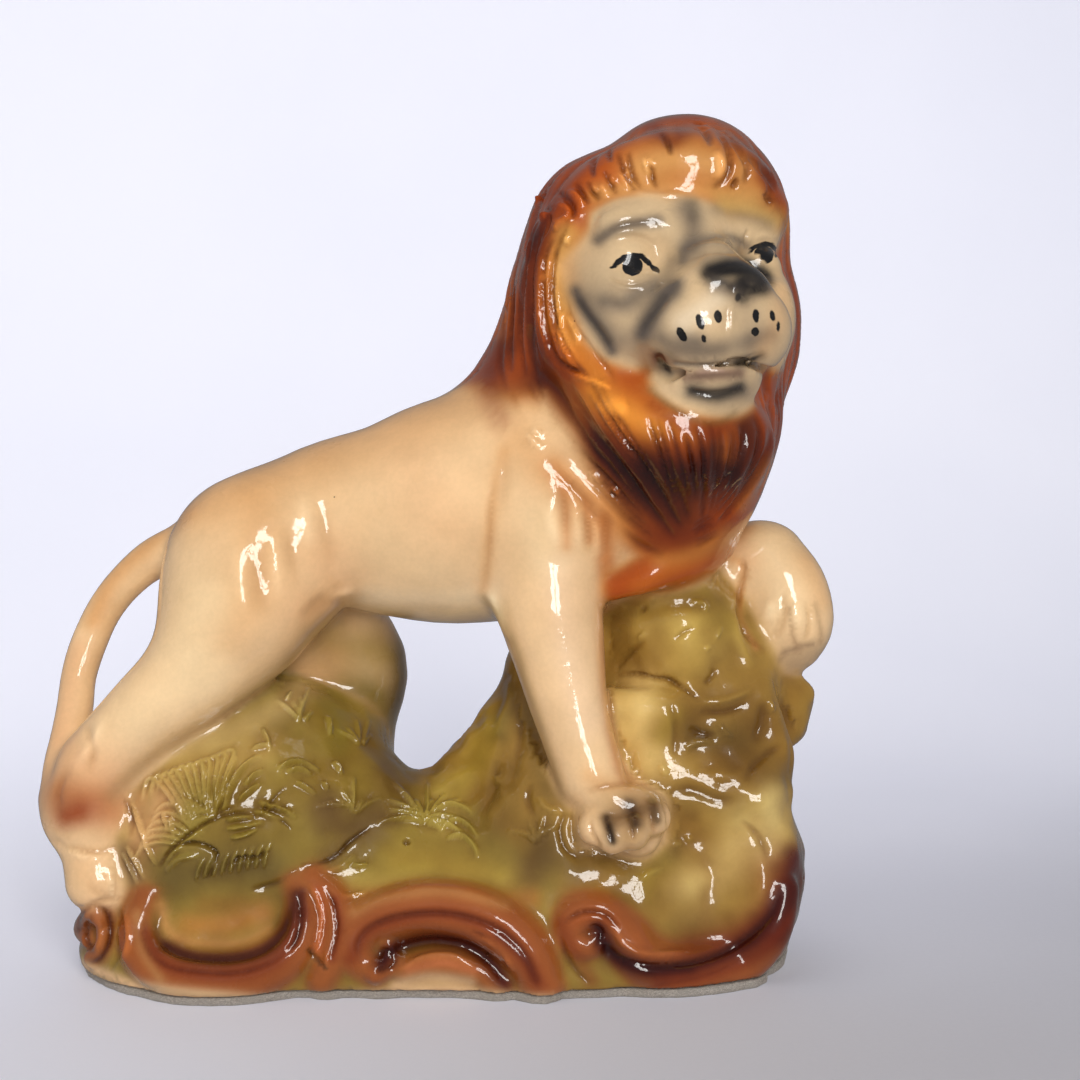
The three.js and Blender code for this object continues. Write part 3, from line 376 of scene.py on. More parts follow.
def refine(V, T, want):
    """Splits every edge that is much longer than the edge wanted there."""
    E = np.sort(np.concatenate([T[:, [0, 1]], T[:, [1, 2]], T[:, [2, 0]]]), 1)
    key = E[:, 0] * len(V) + E[:, 1]
    u, first, inv = np.unique(key, return_index=True, return_inverse=True)
    e = E[first]
    L = np.linalg.norm(V[e[:, 0]] - V[e[:, 1]], axis=1)
    long = L > 1.45 * np.minimum(want[e[:, 0]], want[e[:, 1]])
    new = np.full(len(u), -1)
    new[long] = len(V) + np.arange(long.sum())
    V2 = np.vstack([V, (V[e[long, 0]] + V[e[long, 1]]) / 2])
    M = new[inv].reshape(3, len(T)).T          # new point on edges ab, bc, ca
    n = (M >= 0).sum(1)
    out = [T[n == 0]]
    for r in range(3):                          # turned so that the split edges come first
        a, b, c = T[:, r], T[:, (r + 1) % 3], T[:, (r + 2) % 3]
        ab, bc, ca = M[:, r], M[:, (r + 1) % 3], M[:, (r + 2) % 3]
        k = (n == 1) & (ab >= 0)
        out += [np.stack([a, ab, c], 1)[k], np.stack([ab, b, c], 1)[k]]
        k = (n == 2) & (ab >= 0) & (bc >= 0)
        out += [np.stack([ab, b, bc], 1)[k], np.stack([a, ab, bc], 1)[k], np.stack([a, bc, c], 1)[k]]
    k = n == 3
    a, b, c = T[k].T
    ab, bc, ca = M[k].T
    out += [np.stack(x, 1) for x in ((a, ab, ca), (ab, b, bc), (ca, bc, c), (ab, bc, ca))]
    return V2, np.concatenate(out)


def settle(V, T, times=1):
    """Moves points along their normals on to the form."""
    for _ in range(times):
        N = normals(V, T)
        f = skin_at(V)
        V = V - N * np.clip(f, -0.6, 0.6)[:, None]
    return V


def hashed(i, j, k, seed):
    n = (i * 73856093) ^ (j * 19349663) ^ (k * 83492791) ^ (seed * 97531 + 12345)
    n = ((n ^ (n >> 13)) & 0x7fffffff) * 1274126177 & 0x7fffffff
    n = ((n ^ (n >> 15)) * 668265263) & 0x7fffffff
    return ((n >> 7) & 0xffff) / 32767.5 - 1


def noise(p, size, seed=0):
    """Smooth noise between -1 and 1 at the given size in mm."""
    q = p / size + 1000
    i = np.floor(q).astype(np.int64)
    f = q - i
    f = f * f * (3 - 2 * f)
    out = 0
    for a in (0, 1):
        for b in (0, 1):
            for c in (0, 1):
                w = (f[:, 0] if a else 1 - f[:, 0]) * (f[:, 1] if b else 1 - f[:, 1]) * (f[:, 2] if c else 1 - f[:, 2])
                out = out + w * hashed(i[:, 0] + a, i[:, 1] + b, i[:, 2] + c, seed)
    return out


def group_distances(P):
    def fn(q, c, R):
        out = np.full((len(q), len(GROUPS)), 15.0, np.float32)
        for m, parts in near(c, R, 9.0):
            if m.add:
                g = GROUPS.index(m.group)
                out[:, g] = np.minimum(out[:, g], m.d(q, parts))
        return out
    return by_cells(P, 20.0, fn, len(GROUPS))


def visible(P, N, V, T_cell=5.0, slack=6.0):
    """1 where the front view sees the surface, fading to 0 at its edge."""
    u, v, z = seen(V)
    s = int(1080 / T_cell) + 3
    iu, iv = np.clip((u / T_cell).astype(int) + 1, 0, s - 1), np.clip((v / T_cell).astype(int) + 1, 0, s - 1)
    buf = np.full((s, s), 1e6)
    np.minimum.at(buf, (iv, iu), z)
    pad = np.pad(buf, 1, constant_values=1e6)
    low = np.min([pad[a:a + s, b:b + s] for a in range(3) for b in range(3)], axis=0)
    u, v, z = seen(P)
    iu, iv = np.clip((u / T_cell).astype(int) + 1, 0, s - 1), np.clip((v / T_cell).astype(int) + 1, 0, s - 1)
    look = EYE - P
    look /= np.linalg.norm(look, axis=1, keepdims=True)
    face = (N * look).sum(1)
    return np.clip((face - 0.02) / 0.2, 0, 1) * np.clip((low[iv, iu] + slack + 3 - z) / 3, 0, 1), face


# ---------------------------------------------------------------- 3 relief in the casting
# Lines lie on the surface as seen from the front: points are pixels of the 1080 frame, widths pixels, heights mm.
# A height below 0 is a groove. fade is how long the pointed ends are, as a share of the line.
LINES = []
BOLD = {"mane": 1.9, "base": 2.3, "rock": 1.5, "body": 1.4, "scroll": 1.25, "face": 1.0}   # all lines of a group, higher or deeper
RNG = np.random.default_rng(20)


def line(groups, height, width, pts, fade=0.3, head=None, lean=0.0, back=0.0):
    LINES.append((groups, height, width, curve(pts, 5), fade if head is None else head, fade, lean, back))


def between(a, b, t):
    """A line that lies between two guide lines, each walked at the same share of its length."""
    def walk(p, s):
        p = curve(p, 6)
        d = np.r_[0, np.cumsum(np.linalg.norm(np.diff(p, axis=0), axis=1))]
        d /= d[-1]
        return np.stack([np.interp(s, d, p[:, 0]), np.interp(s, d, p[:, 1])], 1)
    s = np.linspace(0, 1, 9)
    return walk(a, s) * (1 - t) + walk(b, s) * t


def strands(groups, n, height, width, a, b, lean=0.0, wander=2.0, lo=0.0, hi=1.0, every=1, part=(0.0, 1.0)):
    """n hair strands between two guide lines, each a little different in place, length and height."""
    for i in range(n):
        t = lo + (hi - lo) * (i + 0.5 + RNG.uniform(-0.25, 0.25)) / n
        p = between(a, b, t)
        s0, s1 = part[0] + RNG.uniform(0, 0.22), part[1] - RNG.uniform(0, 0.22)
        k = np.linspace(s0, s1, 7)
        q = np.stack([np.interp(k, np.linspace(0, 1, len(p)), p[:, j]) for j in (0, 1)], 1)
        q += np.cumsum(RNG.normal(0, wander * 0.35, q.shape), 0) * 0.5
        line(groups, height * RNG.uniform(0.6, 1.25), width * RNG.uniform(0.75, 1.3), q, fade=0.35, lean=lean)


def fan(groups, n, height, width, root, start, stop, reach, curl, back=0.0):
    """n grass blades from a root, turning from the start to the stop angle (0 right, 90 up); curl bends their tips over."""
    for i in range(n):
        t = (i + RNG.uniform(-0.2, 0.2)) / max(n - 1, 1)
        a = math.radians(start + (stop - start) * t)
        L = reach * (0.75 + 0.3 * math.sin(2.6 * i + 1)) * RNG.uniform(0.85, 1.15)
        p, q = np.array(root, float) + RNG.normal(0, 1.5, 2), []
        bend = curl * math.cos(a)
        for k in range(6):
            q.append(p.copy())
            a2 = a - bend * (k / 5) ** 1.3
            p += L / 5 * np.array([math.cos(a2), -math.sin(a2)])
        line(groups, height * RNG.uniform(0.75, 1.2), width, q, head=0.12, fade=0.55, back=back)


# mane: left of the face, strands run down beside the outline
M_OUT = [(548, 182), (523, 214), (512, 250), (506, 295), (500, 335), (496, 370), (508, 405)]
M_IN = [(575, 220), (561, 248), (557, 285), (560, 318), (572, 348), (590, 372), (612, 392)]
strands(("mane",), 9, -0.85, 3.0, M_OUT, M_IN, lean=0.3)
strands(("mane",), 7, 0.5, 2.3, M_OUT, M_IN, part=(0.1, 0.9))
line(("mane",), -0.9, 3.4, [(540, 222), (531, 250), (527, 290), (529, 330), (538, 362)], fade=0.25)
line(("mane",), -0.8, 3.0, [(553, 238), (544, 262), (541, 300), (545, 335), (556, 360), (583, 373)], fade=0.2)
line(("mane",), 0.8, 3.4, [(562, 311), (559, 330), (563, 346), (570, 357), (579, 367)], fade=0.25)
line(("mane",), 0.6, 2.4, [(567, 315), (576, 333), (578, 346)], fade=0.3)
line(("mane",), 0.7, 2.2, [(572, 374), (590, 380), (612, 389)], fade=0.3)
line(("mane",), -0.8, 2.8, [(548, 349), (562, 365), (584, 373)], fade=0.25)
line(("mane",), 0.7, 3.0, [(543, 270), (540, 284)], fade=0.4)
line(("mane",), 0.6, 2.6, [(565, 236), (568, 246)], fade=0.4)
# temple curls
for pts in ([(533, 204), (541, 198), (552, 197)], [(536, 213), (541, 208)], [(556, 203), (565, 207), (569, 214), (562, 220), (552, 222)],
            [(553, 230), (560, 222)], [(571, 190), (578, 197), (584, 206)], [(539, 221), (545, 214), (552, 212)]):
    line(("mane",), 0.75, 2.3, pts, fade=0.35)
for pts in ([(556, 191), (566, 197), (574, 208), (573, 219)], [(545, 204), (548, 212), (546, 226), (540, 240)], [(528, 214), (531, 226), (527, 244)]):
    line(("mane",), -0.8, 2.4, pts, fade=0.3)
# quiff: combed up and over from the hairline
for pts in ([(586, 181), (592, 190), (600, 201)], [(603, 170), (610, 181), (617, 195)], [(617, 152), (622, 165), (629, 182), (638, 193)],
            [(628, 150), (630, 165), (634, 178), (642, 190)], [(650, 158), (652, 175), (657, 190)], [(575, 182), (583, 195), (590, 205)],
            [(597, 150), (592, 165), (594, 178)], [(612, 136), (608, 150), (611, 162)], [(660, 132), (668, 144), (671, 156)]):
    line(("mane",), -0.7, 2.6, pts, fade=0.4)
for pts in ([(568, 190), (577, 197), (585, 204)], [(590, 185), (598, 193)], [(600, 184), (608, 197)], [(609, 176), (614, 182)],
            [(619, 172), (624, 180), (631, 190)], [(625, 168), (629, 178)], [(643, 158), (647, 168), (650, 176)], [(648, 158), (654, 168)]):
    line(("mane",), 0.65, 2.2, pts, fade=0.4)
line(("mane",), 0.9, 2.4, [(634, 190), (640, 194), (655, 196), (672, 196), (686, 196)], fade=0.35)
for pts in ([(713, 124), (727, 144), (731, 163), (725, 180), (712, 189)], [(722, 130), (740, 150), (748, 168), (744, 186)], [(745, 152), (760, 168), (770, 182), (769, 199)],
            [(757, 160), (770, 176), (776, 192)], [(693, 120), (706, 132), (712, 146)], [(738, 178), (732, 190)], [(765, 192), (772, 206)]):
    line(("mane",), -0.75, 2.9, pts, fade=0.35)
line(("mane",), 0.6, 5.0, [(716, 150), (722, 165), (718, 180)], fade=0.4)
# right of the face
strands(("mane",), 7, -0.5, 2.6, [(777, 188), (795, 240), (806, 292), (808, 325), (800, 350), (790, 372)], [(776, 214), (788, 262), (792, 305), (786, 340), (772, 372), (757, 398)], wander=1.4)
line(("mane",), -0.7, 2.4, [(792, 352), (787, 372), (780, 392), (777, 415)], fade=0.3)
# beard
B_OUT = [(500, 372), (513, 408), (534, 440), (563, 468), (596, 498), (628, 524), (655, 546)]
B_IN = [(596, 376), (612, 402), (630, 432), (650, 462), (668, 492), (684, 520), (694, 544)]
strands(("mane",), 12, -0.85, 3.0, B_OUT, B_IN, lean=0.3)
strands(("mane",), 8, 0.35, 2.2, B_OUT, B_IN, part=(0.1, 0.85))
strands(("mane",), 11, -0.7, 2.8, [(640, 410), (648, 440), (662, 475), (676, 505), (688, 532)], [(758, 398), (776, 430), (768, 462), (746, 496), (722, 526)], lean=0.2)
strands(("mane",), 5, -0.7, 2.4, [(705, 500), (716, 492), (728, 478), (742, 458)], [(712, 530), (724, 520), (738, 505), (752, 484)], wander=1.2)
strands(("mane", "body"), 7, -0.35, 2.2, [(690, 528), (702, 520), (716, 512)], [(690, 552), (706, 545), (722, 535)], wander=1.2)
for pts in ([(525, 433), (532, 440), (541, 449)], [(533, 427), (541, 437)], [(588, 470), (595, 477), (602, 484)], [(610, 486), (620, 496)]):
    line(("mane", "body"), 0.8, 2.2, pts, fade=0.4)
line(("mane",), 0.6, 9.0, [(596, 402), (612, 408), (628, 404)], fade=0.4)
# shoulder, chest and flank folds
for h, w, pts in ((0.55, 6, [(548, 500), (552, 525), (558, 548)]), (-0.5, 5, [(559, 482), (564, 505), (566, 535)]), (0.45, 5, [(573, 500), (577, 525), (578, 550)]),
                  (-0.5, 4, [(584, 505), (588, 530), (588, 556)]), (0.45, 4, [(594, 515), (597, 540), (597, 560)]), (-0.6, 5, [(603, 505), (607, 530), (608, 556)]),
                  (-0.6, 4, [(545, 458), (575, 490), (604, 528), (612, 548)]), (0.5, 5, [(556, 458), (590, 490), (618, 522)]), (-0.45, 4, [(497, 470), (491, 505), (490, 540), (486, 575), (484, 596)]),
                  (-0.4, 4, [(620, 528), (640, 545), (664, 556)]), (0.5, 4, [(486, 590), (494, 604), (508, 640)]), (-0.35, 7, [(508, 440), (505, 480), (500, 520)])):
    line(("body", "mane"), h, w, pts, fade=0.35, back=0.6)
for h, w, pts in ((0.5, 7, [(236, 545), (240, 580), (247, 620)]), (-0.35, 7, [(254, 545), (260, 585), (266, 620)]), (0.5, 6, [(272, 530), (276, 560), (280, 600)]),
                  (-0.4, 6, [(287, 520), (292, 555), (298, 590)]), (0.5, 7, [(303, 492), (306, 520), (312, 550)]), (-0.35, 7, [(322, 500), (326, 530), (334, 570)]),
                  (-0.5, 7, [(300, 622), (322, 602), (346, 594)]), (0.5, 5, [(326, 600), (341, 594), (356, 590)])):
    line(("body",), h, w, pts, fade=0.4, back=0.8)
# hock: tendons and the tail laid along it
for h, w, pts in ((-0.5, 4, [(86, 722), (92, 748), (90, 775)]), (0.45, 5, [(104, 712), (94, 740), (72, 770)]), (-0.5, 4, [(70, 765), (58, 790), (60, 815)]),
                  (-0.6, 3, [(120, 796), (132, 812), (130, 838)]), (-0.6, 3, [(50, 838), (70, 848), (96, 852), (118, 846)]), (0.5, 3, [(60, 842), (82, 856), (110, 858)]),
                  (-0.5, 3, [(86, 880), (98, 892), (112, 896)]), (-0.7, 2.2, [(66, 905), (84, 908), (104, 900), (124, 898)])):
    line(("body", "base"), h, w, pts, fade=0.35)
# near forepaw
for h, w, pts in ((-0.7, 2.0, [(605, 817), (609, 830), (613, 845)]), (-0.7, 2.0, [(627, 812), (631, 826), (634, 842)]), (-0.6, 2.0, [(648, 806), (652, 820), (654, 834)]),
                  (-0.5, 2.4, [(590, 815), (592, 832), (600, 848)]), (-0.5, 3.0, [(585, 795), (600, 788), (625, 783), (650, 783)]), (-0.45, 2.2, [(662, 800), (668, 815), (668, 830)])):
    line(("body",), h, w, pts, fade=0.3)
# raised paw: outline against the rock and faint toes
for h, w, pts in ((-0.8, 2.2, [(720, 552), (735, 556), (744, 569), (740, 590), (741, 620), (752, 640), (766, 652)]), (-0.5, 3.0, [(783, 590), (784, 615), (776, 640)]),
                  (-0.45, 2.6, [(806, 600), (809, 622), (804, 645)]), (-0.35, 2.2, [(770, 640), (776, 630), (780, 612)]), (0.4, 6, [(770, 600), (768, 622)]), (0.4, 6, [(795, 602), (796, 628)])):
    line(("body", "rock"), h, w, pts, fade=0.25)
# rock: crack, facet edges and lumps
for h, w, pts in ((-1.0, 2.0, [(612, 674), (636, 674), (655, 678), (669, 680), (688, 691), (700, 700)]), (-0.9, 2.4, [(606, 596), (607, 640), (611, 700), (616, 748), (626, 783)]),
                  (-0.6, 3, [(612, 674), (626, 656), (646, 640)]), (0.7, 3, [(702, 702), (722, 701), (743, 694), (752, 690)]), (-0.7, 4, [(700, 712), (724, 712), (748, 704)]),
                  (0.8, 3, [(684, 748), (697, 742), (712, 741)]), (-0.8, 4, [(690, 728), (702, 734), (716, 735)]), (0.8, 2.6, [(716, 722), (724, 733), (732, 738)]),
                  (0.7, 2.6, [(770, 700), (772, 714)]), (-0.7, 5, [(764, 700), (762, 724), (754, 744)]), (0.6, 3, [(660, 764), (666, 776)]), (-0.6, 4, [(670, 700), (676, 730), (674, 756)]),
                  (0.6, 2.4, [(636, 600), (642, 594), (648, 594)]), (-0.5, 2.4, [(640, 612), (646, 606)]), (-0.6, 2, [(674, 640), (684, 632), (694, 628)]), (0.7, 2.6, [(690, 602), (704, 603), (706, 612)]),
                  (0.5, 2, [(716, 640), (720, 632), (722, 626)]), (0.5, 2, [(704, 650), (712, 646)]), (-0.7, 2.4, [(704, 684), (712, 676), (716, 668)]), (0.5, 2.0, [(638, 640), (646, 632)]),
                  (0.6, 5, [(735, 610), (740, 640), (752, 668)]), (-0.7, 4, [(786, 745), (770, 752), (752, 768), (745, 782)]), (0.5, 6, [(700, 772), (728, 776), (752, 770)]),
                  (-0.6, 6, [(660, 795), (690, 790), (720, 800), (748, 798)]), (0.5, 3, [(640, 880), (652, 872), (664, 868)]), (0.5, 2.4, [(672, 842), (682, 844)]), (0.5, 2, [(686, 836), (692, 842)]),
                  (-0.5, 3, [(576, 838), (590, 850), (610, 854), (640, 850)]), (-0.6, 3, [(566, 812), (560, 830), (566, 850), (580, 858)]), (-0.7, 2.5, [(524, 665), (540, 720), (552, 765), (574, 812)]),
                  (0.6, 5, [(512, 668), (508, 700), (498, 735)]), (-0.6, 5, [(522, 700), (520, 740), (512, 780)]), (0.5, 6, [(478, 725), (468, 745), (452, 765)]), (-0.5, 5, [(498, 760), (492, 790), (480, 815)]),
                  (0.7, 3, [(538, 796), (546, 808), (562, 812)]), (-0.6, 4, [(530, 782), (528, 800), (534, 818)]), (0.5, 4, [(495, 774), (497, 784)]),
                  (-0.45, 3, [(740, 820), (760, 838), (768, 860)]), (0.45, 8, [(756, 845), (764, 880), (752, 915)]), (-0.4, 7, [(700, 850), (712, 880), (700, 905)])):
    line(("rock", "base"), h, w, pts, fade=0.3, back=0.7)
# grass: the tuft under the hind leg
G = ("base", "rock", "body")
for h, w, pts in ((1.0, 2.2, [(210, 814), (206, 804), (203, 793)]), (0.9, 2.0, [(214, 812), (216, 794), (221, 773), (222, 756)]), (0.9, 2.0, [(219, 808), (225, 788), (232, 770), (236, 755)]),
                  (1.2, 2.3, [(223, 812), (228, 794), (238, 775), (250, 762), (262, 755)]), (0.8, 2.0, [(238, 800), (250, 790), (260, 784)]), (0.8, 2.0, [(244, 786), (253, 776), (263, 770)]),
                  (0.8, 2.0, [(206, 780), (204, 768), (200, 758)]), (0.8, 1.9, [(226, 829), (238, 827), (250, 825), (264, 822)]), (1.0, 2.1, [(226, 820), (240, 817), (254, 816)]),
                  (0.8, 1.9, [(230, 838), (244, 835), (258, 829)]), (1.0, 2.1, [(258, 802), (272, 806), (284, 810), (296, 818)]), (0.9, 2.0, [(254, 811), (268, 814), (282, 820)]),
                  (0.8, 1.9, [(276, 770), (290, 763), (304, 764), (320, 771)]), (0.8, 1.9, [(286, 772), (300, 770), (312, 774)]), (0.7, 1.8, [(296, 782), (308, 789), (316, 794)]),
                  (0.7, 1.8, [(322, 782), (328, 790)]), (0.8, 1.9, [(332, 762), (337, 766), (342, 774)]), (0.7, 1.8, [(327, 716), (329, 726), (330, 736)]),
                  (0.8, 1.9, [(163, 812), (166, 822), (170, 832)]), (0.8, 1.9, [(171, 816), (172, 826), (174, 836)]), (0.8, 1.9, [(177, 802), (181, 810), (185, 820)]),
                  (0.7, 1.8, [(252, 749), (262, 746), (272, 745)]), (0.7, 1.8, [(262, 728), (268, 742), (270, 752)]), (0.6, 1.8, [(286, 700), (292, 690)]),
                  (0.7, 2.0, [(130, 802), (138, 818), (145, 838), (150, 858)]), (0.7, 1.8, [(144, 842), (150, 852), (155, 866)]), (0.7, 1.8, [(122, 852), (130, 866), (138, 886)]),
                  (0.6, 1.8, [(126, 846), (136, 862), (144, 880)]), (0.7, 1.8, [(108, 870), (112, 884), (112, 896)])):
    line(G, h, w, pts, head=0.2, fade=0.45, back=0.7)
# blades that arch up and over to the left, under the leg
for i in range(11):
    x = 240 - 8.4 * i
    line(G, 0.65, 2.0, [(212 - 1.5 * i, 822 + 1.5 * i), (0.45 * (212 - 1.5 * i) + 0.55 * x - 2, 778 + 2.2 * i), (x - 6, 752 + 2.6 * i), (x - 20 + 0.5 * i, 752 + 5.0 * i)], head=0.15, fade=0.4, back=0.7)
for i in range(6):
    line(G, 0.5, 1.9, [(204 - 4 * i, 836 + 2 * i), (186 - 5 * i, 812 + 6 * i), (166 - 5 * i, 804 + 9 * i), (152 - 4 * i, 816 + 10 * i)], head=0.2, fade=0.4, back=0.6)
fan(G, 7, -0.5, 1.6, (216, 816), 20, 165, 44, 0.9)
fan(G, 6, -0.45, 1.6, (262, 812), -20, 60, 36, 0.7)
# leaves on the lower mound and serrations
for h, w, pts in ((-0.8, 1.8, [(158, 868), (170, 851), (186, 843), (205, 846), (217, 855), (214, 868), (206, 880)]), (0.6, 3.0, [(166, 872), (180, 858), (200, 856)]),
                  (-0.7, 1.8, [(158, 868), (172, 850), (192, 832), (212, 820), (232, 814)]), (0.6, 2.2, [(164, 862), (180, 845), (200, 832)]), (-0.6, 2.0, [(228, 866), (240, 858), (256, 858), (270, 850)]),
                  (-0.6, 2.4, [(300, 866), (318, 864), (336, 856), (352, 840), (372, 826)]), (0.5, 3, [(320, 872), (338, 868), (356, 856)]), (0.5, 2, [(336, 894), (350, 896), (366, 893)]),
                  (0.6, 2, [(352, 864), (360, 866), (368, 864)]), (-0.4, 3, [(250, 890), (275, 884), (300, 868)])):
    line(G, h, w, pts, fade=0.3, back=0.5)
for i in range(9):
    line(G, 0.6, 1.6, [(196 + 8.5 * i, 880 - 1.6 * i), (199 + 8.5 * i, 868 - 2.2 * i), (204 + 8.5 * i, 858 - 1.8 * i)], head=0.2, fade=0.5)
# second and third tufts
for a0, a1, r, n in ((165, 105, 46, 7), (88, 60, 38, 4), (42, -8, 42, 7)):
    fan(G, n, 0.75, 1.9, (424, 822), a0, a1, r, 0.9, back=0.7)
for pts in ([(440, 830), (456, 820), (470, 826), (478, 838)], [(446, 838), (462, 836), (474, 846), (478, 858)], [(428, 818), (446, 806), (462, 806), (474, 814)]):
    line(G, 0.7, 1.9, pts, head=0.2, fade=0.45, back=0.7)
fan(G, 6, 0.55, 1.8, (536, 842), 150, 40, 30, 0.9)
fan(G, 6, 0.5, 1.8, (352, 812), 160, 40, 34, 0.8)
fan(G, 5, 0.5, 1.8, (300, 720), 130, 50, 34, 0.4)
fan(G, 5, 0.45, 1.8, (360, 745), 140, 50, 30, 0.4)
# pinhole left by a bubble
line(G, -0.9, 2.6, [(406, 842), (407.5, 842)], fade=0.0)
line(G, 0.3, 4.6, [(406, 842), (407.5, 842)], fade=0.0)
# scrolls: long soft flutes along each roll, and the worn chip beside the strut
S = ("scroll", "base", "rock")
for h, w, pts in ((-0.9, 4.5, [(160, 905), (158, 932), (172, 950), (200, 957), (235, 958), (262, 950), (284, 930), (290, 900)]),
                  (-0.5, 3.0, [(146, 918), (146, 946), (168, 966), (205, 972), (240, 972), (272, 962), (292, 944)]),
                  (-0.9, 3.0, [(298, 892), (300, 915), (297, 938), (286, 954)]), (0.7, 2.4, [(310, 884), (318, 900), (322, 918), (318, 944), (314, 962)]),
                  (-0.8, 2.6, [(325, 886), (334, 905), (336, 930), (330, 960)]), (-0.7, 2.0, [(308, 948), (316, 958), (326, 970)]), (0.5, 2.2, [(328, 950), (326, 968)]),
                  (-0.9, 4.0, [(362, 965), (358, 945), (370, 928), (402, 916), (448, 914), (492, 926), (522, 950), (538, 980)]),
                  (-1.0, 4.5, [(384, 964), (398, 950), (430, 942), (464, 946), (490, 962), (504, 982)]), (0.8, 3.2, [(398, 972), (422, 958), (452, 956), (476, 968)]),
                  (-0.9, 2.6, [(376, 972), (392, 966), (394, 955), (384, 950), (378, 958)]), (0.6, 2.4, [(480, 935), (500, 950), (514, 972)]), (-0.5, 2.0, [(470, 930), (492, 942), (508, 960)]),
                  (-0.9, 3.0, [(563, 922), (582, 912), (604, 914), (620, 930)]), (-1.0, 3.6, [(600, 932), (606, 948), (622, 960), (650, 966), (692, 962), (734, 946), (768, 918), (782, 890)]),
                  (-0.7, 2.4, [(590, 925), (600, 930), (600, 942), (594, 948)]), (0.7, 2.8, [(612, 926), (624, 944), (646, 954), (690, 952)]), (-0.6, 2.4, [(560, 935), (566, 955), (580, 975), (592, 985)]),
                  (-0.9, 2.2, [(76, 930), (80, 914), (94, 906), (108, 914), (110, 938), (102, 958), (90, 966)]), (-0.8, 2.4, [(88, 918), (86, 938), (92, 952)]), (0.5, 2.4, [(98, 916), (101, 936), (95, 954)]),
                  (-0.7, 2.4, [(118, 905), (122, 930), (118, 955), (110, 972)]), (0.6, 3, [(126, 912), (128, 940), (122, 962)]),
                  (-0.4, 2.0, [(130, 985), (200, 996), (300, 996), (400, 985)]), (-0.35, 2.0, [(440, 982), (520, 993), (620, 990), (700, 978), (760, 950)])):
    line(S, h, w, pts, fade=0.25)
# face: brows, lids, wrinkles, lips and jaw line
F = ("face",)
for h, w, pts in ((0.6, 4.0, [(601, 245), (618, 233), (640, 232), (656, 240)]), (-0.6, 3.0, [(598, 240), (618, 227), (640, 222), (658, 223)]), (-0.5, 2.0, [(607, 274), (618, 282), (634, 284), (650, 279)]),
                  (0.5, 2.4, [(606, 279), (620, 287), (638, 288), (652, 283)]), (-0.5, 2.2, [(683, 248), (700, 240), (718, 237), (736, 240), (748, 248)]), (0.4, 2.4, [(684, 254), (702, 246), (720, 244), (738, 247)]),
                  (-0.5, 2.2, [(686, 263), (700, 254), (718, 251), (738, 254)]), (-0.7, 2.0, [(749, 228), (746, 238), (745, 250)]), (0.5, 3.0, [(753, 240), (764, 236), (776, 240)]),
                  (-0.7, 5.0, [(677, 283), (662, 302), (648, 320), (638, 336)]), (-0.5, 4.0, [(574, 294), (588, 316), (602, 334), (613, 350)]), (-0.5, 5.0, [(604, 302), (622, 304), (642, 294)]),
                  (-0.4, 5, [(691, 205), (694, 222), (690, 236)]), (0.28, 2.0, [(733, 296), (732, 315), (731.5, 340)]), (-0.3, 2.6, [(727, 304), (726, 320), (725, 336)]),
                  (-0.3, 2.0, [(733, 283), (731, 296)]), (-0.8, 3.4, [(658, 357), (662, 366), (671, 374)]), (-0.7, 1.8, [(672, 362), (690, 365), (710, 365), (734, 363), (748, 358), (760, 352)]),
                  (0.6, 4.5, [(682, 374), (700, 372), (722, 372), (744, 370)]), (-0.7, 3.0, [(680, 388), (700, 393), (724, 393), (744, 387)]), (-0.5, 2.2, [(640, 386), (656, 397), (676, 410), (700, 421)]),
                  (0.35, 7, [(700, 404), (716, 407), (732, 400)]), (-0.5, 2, [(564, 292), (572, 320), (588, 344), (606, 366), (616, 384)]), (0.4, 3, [(652, 372), (660, 380), (668, 386)])):
    line(F + (("mane",) if w == 2 else ()), h, w, pts, fade=0.3)
for i in range(14):
    a, b = RNG.uniform(682, 744), RNG.uniform(370, 386)
    line(F, RNG.choice([-0.35, 0.35]), 1.6, [(a, b), (a + RNG.uniform(-4, 4), b + RNG.uniform(-2, 2))], fade=0.3)


def to_line(u, v, pts):
    """Distance to a line, side of it, and the share of the way along."""
    a, b = pts[:-1], pts[1:]
    ab = b - a
    l2 = np.maximum((ab * ab).sum(1), 1e-9)
    x, y = u[:, None] - a[:, 0], v[:, None] - a[:, 1]
    t = np.clip((x * ab[:, 0] + y * ab[:, 1]) / l2, 0, 1)
    dx, dy = x - t * ab[:, 0], y - t * ab[:, 1]
    d2 = dx * dx + dy * dy
    i = d2.argmin(1)
    r = np.arange(len(u))
    L = np.sqrt(l2)
    s = np.r_[0, np.cumsum(L)]
    return np.sqrt(d2[r, i]), np.sign(ab[i, 0] * dy[r, i] - ab[i, 1] * dx[r, i]), (s[i] + t[r, i] * L[i]) / s[-1]


def ends(s, head, fade):
    out = np.ones_like(s)
    if head > 0:
        out = out * np.clip(s / head, 0, 1) ** 0.7
    if fade > 0:
        out = out * np.clip((1 - s) / fade, 0, 1) ** 0.7
    return out


